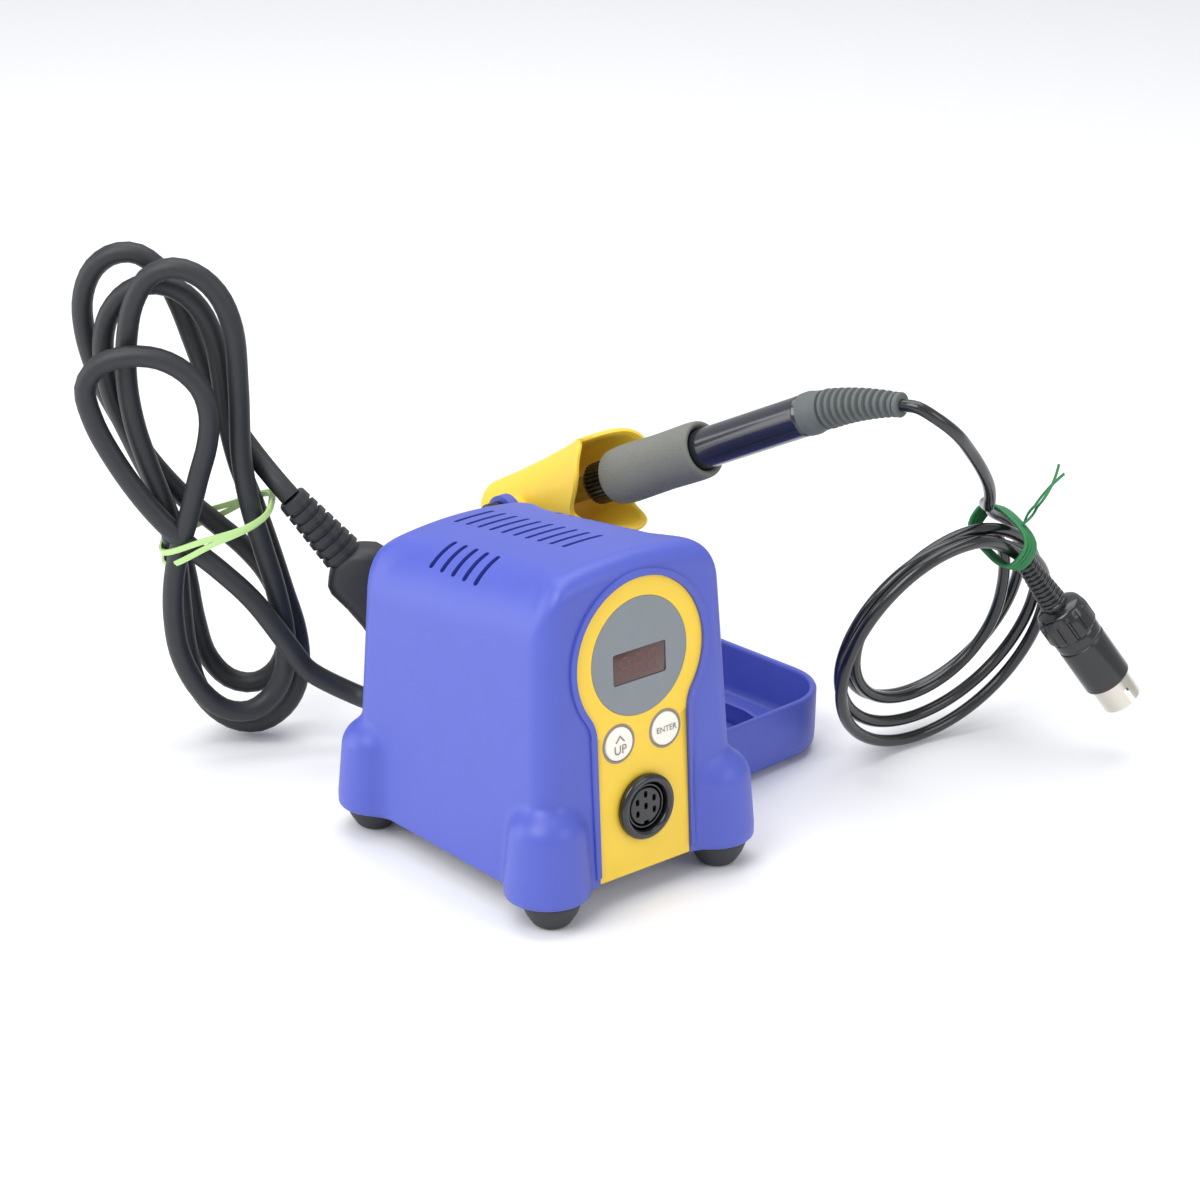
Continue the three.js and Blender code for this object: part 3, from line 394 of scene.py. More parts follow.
def body_field(p, inset=0.0, front_inset=0.0):
    x, y, z = np.abs(p[..., 0]), p[..., 1], p[..., 2]
    side = (x - SIDE_X + inset + (z - SKIRT) * math.tan(DRAFT)) * math.cos(DRAFT)
    front = (FRONT_Y + front_inset + lean_at(z) - y) * math.cos(LEAN)
    rear = y - REAR_Y + inset + lean_at(z) / 2
    bow = ARCH * x**2
    roof = (z + inset + (y - CREST_Y) * math.tan(ROOF_FALL) - CREST + bow) * math.cos(ROOF_FALL)
    walls = round_max(round_max(side, front, CORNER_ROUND), rear, CORNER_ROUND)
    share = np.clip((np.maximum(front, rear) - side + 9) / 18, 0, 1)
    share = share * share * (3 - 2 * share)
    shoulder = SHOULDER_ROUND + (ROOF_EDGE_ROUND - SHOULDER_ROUND) * share
    return round_max(walls, roof, shoulder)


def housing_field(p):
    x, y, z = np.abs(p[..., 0]), np.abs(p[..., 1]), p[..., 2]
    pod = np.hypot(x - POD_X, y - POD_Y) - POD_RADIUS + np.clip(z - 14, 0, 30) * POD_TAPER
    pods = round_max(pod, z - POD_TOP, POD_CROWN)
    whole = round_min(body_field(p), pods, POD_FILLET)
    return round_max(whole, SKIRT - z, 1.2)


def skin(field, low, high, step):
    """A closed mesh on the zero level of a field: one vertex per crossed cell, pulled onto the level."""
    axes = [np.arange(a, b + step, step) for a, b in zip(low, high)]
    grid = np.stack(np.meshgrid(*axes, indexing="ij"), -1)
    inside = field(grid) < 0
    n = [s - 1 for s in inside.shape]
    count = np.zeros(n, int)
    for i in (0, 1):
        for j in (0, 1):
            for k in (0, 1):
                count += inside[i:n[0] + i, j:n[1] + j, k:n[2] + k]
    mixed = (count > 0) & (count < 8)
    index = -np.ones(n, int)
    index[mixed] = np.arange(mixed.sum())
    cells = np.argwhere(mixed)
    points = grid[tuple(cells.T)] + step / 2
    small = step * 0.02
    for _ in range(6):
        value = field(points)
        slope = np.stack([field(points + small * np.eye(3)[k]) - field(points - small * np.eye(3)[k])
                          for k in range(3)], -1) / (2 * small)
        size = np.maximum((slope**2).sum(-1), 0.25)
        points = points - slope * np.clip(value / size, -step, step)[:, None]
    faces = []
    for axis in range(3):
        first, second = [k for k in range(3) if k != axis]
        one = np.moveaxis(inside, axis, 0)
        change = np.moveaxis(one[:-1] != one[1:], 0, axis)
        for spot in np.argwhere(change):
            if spot[first] < 1 or spot[second] < 1 or spot[first] >= n[first] or spot[second] >= n[second]:
                continue
            ring = []
            for da, db in ((1, 1), (0, 1), (0, 0), (1, 0)):
                cell = spot.copy()
                cell[first] -= da
                cell[second] -= db
                ring.append(int(index[tuple(cell)]))
            faces.append(ring)
    return [tuple(p) for p in points], faces


# ---------------------------------------------------------------- finishes


def linear(code):
    """An sRGB hex value as a linear colour."""
    made = []
    for k in (1, 3, 5):
        value = int(code[k:k + 2], 16) / 255
        made.append(value / 12.92 if value <= 0.04045 else ((value + 0.055) / 1.055) ** 2.4)
    return (*made, 1.0)


def add(tree, kind, inputs=None, **settings):
    """Adds a node, sets it up and links it."""
    made = tree.nodes.new(kind)
    for key, value in settings.items():
        setattr(made, key, value)
    for key, value in (inputs or {}).items():
        if isinstance(value, bpy.types.NodeSocket):
            tree.links.new(value, made.inputs[key])
        else:
            made.inputs[key].default_value = value
    return made


def shades(tree, code, light, dark, factor):
    """A colour that drifts between a darker and a lighter shade with a pattern."""
    low = [c * dark for c in linear(code)[:3]] + [1]
    high = [min(1, c * light) for c in linear(code)[:3]] + [1]
    mix = add(tree, "ShaderNodeMix", {0: factor, 6: low, 7: high}, data_type="RGBA")
    return mix.outputs[2]


def finish_tree(name):
    material = bpy.data.materials.new(name)
    material.use_nodes = True
    tree = material.node_tree
    tree.nodes.clear()
    place = add(tree, "ShaderNodeTexCoord")
    return material, tree, place.outputs["Object"]


def close_tree(tree, bump=None, **sockets):
    named = {key.replace("_", " "): value for key, value in sockets.items()}
    if bump is not None:
        named["Normal"] = bump
    shader = add(tree, "ShaderNodeBsdfPrincipled", named)
    add(tree, "ShaderNodeOutputMaterial", {"Surface": shader.outputs[0]})


def grain(tree, place, size, detail=2.0):
    """A noise whose features are size millimetres across."""
    made = add(tree, "ShaderNodeTexNoise", {"Vector": place, "Scale": 1000 / size, "Detail": detail})
    return made.outputs[0]


def raised(tree, height, depth, strength=1.0):
    """A bump of depth millimetres."""
    made = add(tree, "ShaderNodeBump", {"Height": height, "Distance": depth * MM, "Strength": strength})
    return made.outputs[0]


def moulded(name, code, roughness, ior=1.53, texture=0.8, depth=0.02, light=1.06, dark=0.95, **more):
    """A moulded plastic or rubber: even colour, the mould's own fine texture, soft gloss."""
    material, tree, place = finish_tree(name)
    colour = shades(tree, code, light, dark, grain(tree, place, 14, 3.0))
    bump = raised(tree, grain(tree, place, texture), depth)
    close_tree(tree, bump, Base_Color=colour, Roughness=roughness, IOR=ior, **more)
    return material


def polished(name, code, roughness, wear=0.1, stretch=(1, 1, 1), depth=0.004, size=0.6, **more):
    """A metal: its gloss is broken by fine marks that run one way where stretch says so."""
    material, tree, place = finish_tree(name)
    run = add(tree, "ShaderNodeMapping", {"Vector": place, "Scale": stretch}).outputs[0]
    marks = grain(tree, run, size, 4.0)
    spread = add(tree, "ShaderNodeMapRange", {0: marks, 3: roughness - wear / 2, 4: roughness + wear})
    colour = shades(tree, code, 1.04, 0.93, grain(tree, place, 6))
    close_tree(tree, raised(tree, marks, depth), Base_Color=colour, Roughness=spread.outputs[0],
               Metallic=1.0, **more)
    return material


def foam_rubber(name, code):
    """Closed-cell EVA foam with a skin: small pores break up a dull grey."""
    material, tree, place = finish_tree(name)
    pores = add(tree, "ShaderNodeTexVoronoi", {"Vector": place, "Scale": 1000 / 0.7}).outputs[0]
    fine = grain(tree, place, 0.5, 4.0)
    both = add(tree, "ShaderNodeMath", {0: pores, 1: fine}, operation="ADD").outputs[0]
    colour = shades(tree, code, 1.12, 0.8, fine)
    close_tree(tree, raised(tree, both, 0.16, 0.8), Base_Color=colour, Roughness=0.92, IOR=1.45)
    return material


def solder_mask(name, code):
    """A circuit board under green solder mask: copper tracks show as paler lines."""
    material, tree, place = finish_tree(name)
    lines = add(tree, "ShaderNodeTexBrick", {
        "Vector": place, "Scale": 1.0, "Mortar Size": 0.0004, "Brick Width": 0.009, "Row Height": 0.0035,
        "Color1": linear(code), "Color2": linear("#2B6B40"), "Mortar": linear("#4E9A58"),
    }).outputs[0]
    close_tree(tree, None, Base_Color=lines, Roughness=0.35, IOR=1.55)
    return material


def smoked_acrylic(name, code):
    """Smoked acrylic: dark red-brown, with the gloss of a polished sheet."""
    material, tree, place = finish_tree(name)
    colour = shades(tree, code, 1.1, 0.9, grain(tree, place, 9))
    close_tree(tree, None, Base_Color=colour, Roughness=0.16, IOR=1.49, Coat_Weight=0.4,
               Coat_Roughness=0.05)
    return material


_made = {}


def finishes():
    if _made:
        return _made
    tint = bpy.context.scene.soldering_colours

    def shown(c):
        return c * 12.92 if c <= 0.0031308 else 1.055 * c ** (1 / 2.4) - 0.055

    def code(value):
        return "#" + "".join(f"{round(255 * shown(c)):02X}" for c in value[:3])

    _made.update({
        # ABS in blue, moulded against a fine eroded texture: broad soft highlights
        "blue_abs": moulded("blue_abs", code(tint.housing), 0.42, texture=0.7, depth=0.012),
        # ABS in yellow, moulded smooth: warm, with an even satin gloss
        "yellow_abs": moulded("yellow_abs", code(tint.panel), 0.42, texture=0.9, depth=0.008),
        # heat-resistant PBT in yellow, moulded and used: duller than the panel
        "yellow_pbt": moulded("yellow_pbt", code(tint.panel), 0.5, texture=1.4, depth=0.03, dark=0.9),
        # polycarbonate film, screen-printed grey on its back: flat and satin
        "grey_film": moulded("grey_film", code(tint.disc), 0.45, ior=1.58, texture=0.5, depth=0.004),
        # smoked acrylic window over the display
        "smoked_acrylic": smoked_acrylic("smoked_acrylic", "#4B2E2A"),
        # the unlit segments behind the window: slightly redder than it
        "unlit_segment": moulded("unlit_segment", "#6E3B35", 0.4, texture=0.5, depth=0.001),
        # silicone keys in cream: soft and matt
        "cream_silicone": moulded("cream_silicone", "#F2F0E4", 0.55, ior=1.43, depth=0.006),
        # screen-printing ink in warm grey
        "grey_ink": moulded("grey_ink", "#8B7F79", 0.5, texture=0.5, depth=0.001),
        # glossy black phenolic and nylon: dark with sharp window-like highlights
        "black_nylon": moulded("black_nylon", "#17181B", 0.22, texture=1.2, depth=0.004, Coat_Weight=0.3),
        # matt black moulded rubber and vulcanised cord sheath
        "black_rubber": moulded("black_rubber", "#25282B", 0.5, ior=1.5, texture=0.9, depth=0.03,
                                dark=0.85),
        # grey rubber feet
        "foot_rubber": moulded("foot_rubber", "#303134", 0.6, ior=1.5, texture=1.0, depth=0.03),
        # plasticised PVC sheath, extruded: thin and glossy
        "gloss_pvc": moulded("gloss_pvc", "#121416", 0.24, ior=1.54, texture=1.6, depth=0.008,
                             Coat_Weight=0.35),
        # thermoplastic elastomer in mid grey, moulded matt
        "grey_elastomer": moulded("grey_elastomer", "#5E6362", 0.62, ior=1.5, texture=0.7, depth=0.03),
        # navy nylon handle, moulded smooth: near black with clean highlights
        "navy_nylon": moulded("navy_nylon", "#24262F", 0.2, texture=1.5, depth=0.003, Coat_Weight=0.5),
        # closed-cell foam grip
        "grey_foam": foam_rubber("grey_foam", "#7B7C75"),
        # paper-and-plastic twist tie in green
        "green_tie": moulded("green_tie", "#1F7A42", 0.45, texture=0.8, depth=0.02),
        # pale green natural rubber band
        "pale_band": moulded("pale_band", "#B9DE90", 0.55, ior=1.52, texture=0.8, depth=0.02),
        # nickel plate over brass, bright with a warm cast
        "bright_nickel": polished("bright_nickel", "#D9D4C8", 0.18),
        # zinc-plated and stainless steel sheet, rolled along Y
        "rolled_steel": polished("rolled_steel", "#BFC1C3", 0.32, wear=0.15, stretch=(1, 0.08, 1)),
        # drawn brass: blades and turnings
        "drawn_brass": polished("drawn_brass", "#D9B765", 0.28, wear=0.12),
        # enamelled copper wire, wound: fine ridges turn by turn
        "enamelled_copper": polished("enamelled_copper", "#A9602C", 0.35, stretch=(1, 1, 0.1), size=0.8,
                                     depth=0.05),
        # circuit board
        "solder_mask": solder_mask("solder_mask", "#245C37"),
        # alumina heater core
        "alumina": moulded("alumina", "#EFEBE0", 0.5, ior=1.76, texture=0.6, depth=0.02),
    })
    return _made


# CAD nodes that stay as they are, with the finish that each one gets
KEPT = {
    "display_module": "black_nylon", "socket_nut": "bright_nickel", "control_board": "solder_mask",
    "chassis_plate": "rolled_steel", "transformer_core": "rolled_steel",
    "transformer_winding": "enamelled_copper",
    "transformer_clamp": "rolled_steel", "clamp_screw_1": "rolled_steel", "clamp_screw_2": "rolled_steel",
    "switch_frame": "black_nylon", "power_rocker": "black_nylon", "heater": "alumina",
    "connector_pins": "black_nylon", "plug_blade_1": "drawn_brass", "plug_blade_2": "drawn_brass",
    **{f"foot_screw_{where}": "rolled_steel" for where in CORNERS},
    **{f"holder_pad_{where}": "foot_rubber" for where in CORNERS},
}
ROUNDED = ("switch_frame", "power_rocker", "chassis_plate", "transformer_core", "plug_blade_1",
           "plug_blade_2", *(f"holder_pad_{where}" for where in CORNERS))


# ---------------------------------------------------------------- what a user may change


def colour_property(name, what, code):
    return bpy.props.FloatVectorProperty(
        name=name, description=what, subtype="COLOR", size=4, min=0, max=1, default=linear(code))


def length_property(name, what, value):
    return bpy.props.FloatProperty(
        name=name, description=what, subtype="DISTANCE", unit="LENGTH", min=0, default=value * MM)


class SolderingColours(bpy.types.PropertyGroup):
    """Colours of the main pieces."""

    housing: colour_property("Housing", "Blue plastic of the base unit and the holder", "#4B58B8")
    panel: colour_property("Panel", "Yellow plastic of the panel and the iron's receptacle", "#F2CB3A")
    disc: colour_property("Disc", "Grey film round the display", "#7C8388")


class SolderingSizes(bpy.types.PropertyGroup):
    """Sizes that can change without moving a piece."""

    power_cord: length_property("Power cord", "Diameter of the mains cord", POWER_CORD)
    iron_cord: length_property("Iron cord", "Diameter of the iron's cord", IRON_CORD)
    foam: length_property("Foam grip", "Radius of the foam grip", FOAM_RADIUS)
    mesh_step: length_property("Mesh step", "Cell size of the housing's mesh", 1.2)
    coil_turns: bpy.props.IntProperty(
        name="Coil turns", description="Turns of the iron's cord", min=2, max=4, default=4)


# ---------------------------------------------------------------- base unit


def bulb(offset, foot=0.0, steps=14):
    """The panel's outline: a circle that runs through two soft curves into a narrower foot."""
    radius, neck, fillet = PANEL_CIRCLE + offset, PANEL_NECK + offset, PANEL_FILLET - offset
    side = neck + fillet
    drop = math.sqrt((radius + fillet) ** 2 - side**2)
    meet = math.atan2(drop, side)
    points = [(-neck, -offset - foot), (neck, -offset - foot)]
    for k in range(steps + 1):
        a = math.pi - meet * k / steps
        points.append((side + fillet * math.cos(a), PANEL_RISE - drop + fillet * math.sin(a)))
    for k in range(1, 4 * steps):
        a = -meet + (math.pi + 2 * meet) * k / (4 * steps)
        points.append((radius * math.cos(a), PANEL_RISE + radius * math.sin(a)))
    for k in range(steps + 1):
        a = meet * (1 - k / steps)
        points.append((-side + fillet * math.cos(a), PANEL_RISE - drop + fillet * math.sin(a)))
    return points


def box_shape(width, depth, height, x=0.0, y=0.0, z=0.0):
    return prism(rounded_box(width, depth, 0.01, x, y, 1), z - height / 2, z + height / 2)


def slot_shapes():
    """The roof's row of slots, and the five slots of each shoulder, their ends round."""
    made = []
    for k in range(ROOF_SLOTS):
        made.append(prism(rounded_box(17, 2.0, 0.9, 0, ROOF_SLOT_Y + k * SLOT_PITCH, 4), 98, 126))
    slot = prism(rounded_box(13, 2.2, 1.0, 0, 0, 4), -14, 12)
    for side in (-1, 1):
        for k in range(SHOULDER_SLOTS):
            spot = shift(side * SHOULDER_SLOT_X, SHOULDER_SLOT_Y + k * SLOT_PITCH, SHOULDER_SLOT_Z)
            made.append(moved(slot, spot @ turn(side * SHOULDER_TILT, "Y")))
    return made


def switch_place():
    x = SIDE_X - (SWITCH_Z - SKIRT) * math.tan(DRAFT)
    across, up = math.sin(DRAFT), math.cos(DRAFT)
    basis = Matrix(((0, -across, up), (1, 0, 0), (0, up, across)))
    return shift(x, SWITCH_Y, SWITCH_Z) @ basis.to_4x4()


class SOLDERING_OT_housing(bpy.types.Operator):
    """Makes the blue housing: a hollow shell with soft pods, a rimmed pocket and its slots"""

    bl_idname = "soldering.housing"
    bl_label = "Housing"

    def execute(self, context):
        step = context.scene.soldering_sizes.mesh_step / MM
        outer = skin(housing_field, (-54, -64, 5), (54, 64, 126), step)
        shell = mesh_object("blue_housing", outer, STATION)
        rim = prism(bulb(2.2, -2.2), -2.5, 0.9, bevel=0.8, segments=4)
        carve(shell, [rim], FACE, "UNION")
        inner = skin(lambda p: body_field(p, WALL, FRONT_WALL), (-50, -60, 0), (50, 60, 122), 2.0)
        face_cuts = [prism(bulb(0, 6), -2.4, 8), prism(bulb(-2.4), -12, 6)]
        holes = slot_shapes()
        holes.append(moved(box_shape(20.1, 13.6, 14), switch_place()))
        holes.append(moved(prism(disc_outline(6.3), -14, 14), shift(GLAND_X, REAR_Y, GLAND_Z) @ ALONG))
        carve(shell, [inner], STATION)
        carve(shell, face_cuts, FACE)
        carve(shell, [joined(*holes)], STATION)
        piece("blue_housing", shell, None, "blue_abs", "station", "housing", angle=38)
        return {"FINISHED"}


class SOLDERING_OT_panel(bpy.types.Operator):
    """Makes the yellow panel, the grey disc and the display behind its window"""

    bl_idname = "soldering.panel"
    bl_label = "Front panel"

    def execute(self, context):
        low, high = -2.1, -0.25
        sheet = mesh_object("yellow_panel", prism(bulb(-0.12, 2.4), low, high, bevel=0.25), FACE)
        holes = [disc_outline(DISC_RADIUS + 0.12, 0, PANEL_RISE, 96)]
        for side in (-1, 1):
            holes.append(disc_outline(BUTTON_RADIUS + 0.45, side * BUTTON_SPREAD, BUTTON_RISE))
        holes.append(disc_outline(9.6, 0, SOCKET_RISE))
        carve(sheet, [joined(*(prism(hole, -8, 4) for hole in holes))], FACE)
        piece("yellow_panel", sheet, None, "yellow_abs", "station", "front_panel")
        film = prism(disc_outline(DISC_RADIUS, 0, PANEL_RISE, 96), low, -0.2, 0.12)
        disc = mesh_object("grey_disc", film, FACE)
        opening = rounded_box(WINDOW_WIDTH + 0.2, WINDOW_HEIGHT + 0.2, 0.9, 0, WINDOW_RISE)
        carve(disc, [prism(opening, -8, 4)], FACE)
        piece("grey_disc", disc, None, "grey_film", "station", "display_disc")
        pane = prism(rounded_box(WINDOW_WIDTH, WINDOW_HEIGHT, 0.8, 0, WINDOW_RISE), low, -0.45, 0.1)
        piece("display_pane", pane, FACE, "smoked_acrylic", "station", "display_window")
        piece("display_digits", self.digits(), FACE, "unlit_segment", "station")
        ring = [(BUTTON_RADIUS + 0.12, -1.6), (BUTTON_RADIUS + 0.12, -0.1), (BUTTON_RADIUS + 0.25, 0.02),
                (BUTTON_RADIUS + 0.8, 0.02), (BUTTON_RADIUS + 0.95, -0.12), (BUTTON_RADIUS + 0.95, -0.24),
                (BUTTON_RADIUS + 0.42, -0.24), (BUTTON_RADIUS + 0.42, -1.6), (BUTTON_RADIUS + 0.12, -1.6)]
        for name, side in (("up", -1), ("enter", 1)):
            place = FACE @ shift(side * BUTTON_SPREAD, BUTTON_RISE, 0)
            piece(f"{name}_button_ring", lathe(ring, 64), place, "grey_ink", "station")
        return {"FINISHED"}

    def digits(self):
        """Three unlit figures of seven segments with their points."""
        parts = []
        wide, tall, thick = 3.4, 6.6, 0.62
        for k in range(3):
            x, y = (k - 1) * 5.9 - 0.3, WINDOW_RISE
            bars = [(x, y + tall / 2, 1), (x, y, 1), (x, y - tall / 2, 1)]
            bars += [(x + a * wide / 2, y + b * tall / 4, 0) for a in (-1, 1) for b in (-1, 1)]
            for bx, by, level in bars:
                long = wide - 0.9 if level else tall / 2 - 0.8
                size = (long, thick) if level else (thick, long)
                parts.append(prism(rounded_box(*size, 0.28, bx + (by - y) * 0.08, by, 3), -0.6, -0.42))
            parts.append(prism(disc_outline(0.36, x + wide / 2 + 1.0, y - tall / 2, 16), -0.6, -0.42))
        return joined(*parts)


def lettering(text, size, centre, lift, frame_place, name):
    """Raised words as a mesh, centred on a point of a plane."""
    data = bpy.data.curves.new(name, "FONT")
    data.body = text
    data.size = size
    data.align_x = "CENTER"
    data.align_y = "CENTER"
    data.extrude = 0.03
    obj = bpy.data.objects.new(name, data)
    bpy.context.scene.collection.objects.link(obj)
    bpy.context.view_layer.update()
    mesh = bpy.data.meshes.new_from_object(obj.evaluated_get(bpy.context.evaluated_depsgraph_get()))
    shape = ([(v.co.x + centre[0], v.co.y + centre[1], v.co.z + lift) for v in mesh.vertices],
             [list(face.vertices) for face in mesh.polygons])
    bpy.data.objects.remove(obj)
    return mesh_object(name, shape, frame_place)


class SOLDERING_OT_buttons(bpy.types.Operator):
    """Makes the two round keys with their plain markings"""

    bl_idname = "soldering.buttons"
    bl_label = "Buttons"

    def execute(self, context):
        r = BUTTON_RADIUS
        cap = [(0, -4.4), (r + 0.9, -4.4), (r + 0.9, -3), (r, -3)]
        cap += soften([(r, -2.6), (r, 0.45), (0, 0.7)], 0.9)
        for name, side, words in (("up", -1, "UP"), ("enter", 1, "ENTER")):
            place = FACE @ shift(side * BUTTON_SPREAD, BUTTON_RISE, 0)
            body = f"{name}_button"
            piece(f"{name}_key", lathe(cap, 64), place, "cream_silicone", body, body)
            size, rise = (4.4, -2.0) if name == "up" else (2.9, 0.0)
            text = lettering(words, size, (0, rise), 0.72, place, f"{name}_words")
            piece(text.name, text, None, "grey_ink", body)
        caret = [(-2.0, 0.9), (-1.55, 0.6), (0, 2.45), (1.55, 0.6), (2.0, 0.9), (0, 3.15)]
        mark = prism(caret, 0.66, 0.76)
        piece("up_caret", mark, FACE @ shift(-BUTTON_SPREAD, BUTTON_RISE, 0), "grey_ink", "up_button")
        return {"FINISHED"}


class SOLDERING_OT_socket(bpy.types.Operator):
    """Makes the round connector socket with its contacts"""

    bl_idname = "soldering.socket"
    bl_label = "Socket"

    def execute(self, context):
        place = FACE @ shift(0, SOCKET_RISE, 0)
        rim = soften([(9.2, -0.2), (11.3, -0.2), (11.3, 2.2), (9.6, 3.0), (8.3, 2.2), (8.3, -9.0)], 0.9, 6)
        profile = [(0, -13), (9.2, -13), *rim, (0, -9.0)]
        piece("socket_flange", lathe(profile, 72), place, "black_nylon", "station", "socket_body")
        core = mesh_object("socket_core", lathe([(0, -8.7), (6.4, -8.7), *soften(
            [(6.4, -0.9), (6.4, 0.9), (0, 0.9)], 0.5)], 64), place)
        collar = soften([(7.6, -8), (7.6, 0.9), (6.9, 0.9), (6.9, -8)], 0.25)
        angles = [math.radians(a) for a in (30, 90, 150, 210, 330)]
        spots = [(4.1 * math.cos(a), 4.1 * math.sin(a)) for a in angles] + [(0, 0)]
        carve(core, [joined(*(prism(rounded_box(1.5, 2.3, 0.6, x, y, 4), -6, 2) for x, y in spots),
                            prism(rounded_box(2.2, 1.8, 0.5, 0, -6.0, 3), -6, 2))], place)
        piece("socket_core", core, None, "black_nylon", "station", "socket_insert")
        piece("socket_collar", lathe([*collar, collar[0]], 64), place, "black_nylon", "station")
        contact = [(0.32, -5.5), (0.62, -5.5), (0.62, -0.9), (0.5, -0.7), (0.32, -0.8), (0.32, -5.5)]
        contacts = joined(*(moved(lathe(contact, 16), shift(x, y, 0)) for x, y in spots))
        piece("socket_contacts", contacts, place, "bright_nickel", "station")
        return {"FINISHED"}


class SOLDERING_OT_feet(bpy.types.Operator):
    """Makes the base unit's rubber feet and the cord's strain relief"""

    bl_idname = "soldering.feet"
    bl_label = "Feet and cord gland"

    def execute(self, context):
        foot = soften([(3.6, 4.2), (3.6, 0), (4.9, 0), (6.2, 0.7), (8.6, 4.4), (9.9, 7.8), (10, 9.2),
                       (2, 9.2), (2, 4.2)], 0.8, 4, closed=True)
        for where, (a, b) in zip(CORNERS, SIGNS):
            place = STATION @ shift(a * FOOT_X, b * FOOT_Y, 0)
            name = f"foot_{where}"
            piece(f"rubber_{name}", lathe([*foot, foot[0]], 48), place, "foot_rubber", "station", name)
        gland = [(0, -6), (8.4, -6), (8.4, -2.9), (6, -2.9), (6, 0.3), (9, 0.3), (9, 2.6), (7.6, 3.6)]
        for k in range(6):
            gland += [(6.6 - k * 0.25, 4.4 + k * 3.6), (6.6 - k * 0.25, 6.6 + k * 3.6),
                      (5.2 - k * 0.12, 6.9 + k * 3.6), (5.2 - k * 0.12, 7.9 + k * 3.6)]
        gland += [(5.0, 27.6), (4.6, 28), (0, 28)]
        y = REAR_Y - lean_at(GLAND_Z) / 2
        piece("ribbed_gland", lathe(gland, 40), STATION @ shift(GLAND_X, y, GLAND_Z) @ ALONG,
              "black_rubber", "station", "cord_gland")
        return {"FINISHED"}


# ---------------------------------------------------------------- holder and iron


def tray_outline(offset, steps=14):
    half, radius = HOLDER_WIDTH / 2 + offset, TRAY_CORNER + offset
    low = -TRAY_FRONT - offset + radius
    points = [(half - radius + radius * math.cos(a), low + radius * math.sin(a))
              for a in (-math.pi / 2 + math.pi / 2 * k / steps for k in range(steps + 1))]
    points += [(half, TRAY_BACK + offset), (-half, TRAY_BACK + offset)]
    points += [(-half + radius + radius * math.cos(a), low + radius * math.sin(a))
               for a in (math.pi + math.pi / 2 * k / steps for k in range(steps + 1))]
    return points


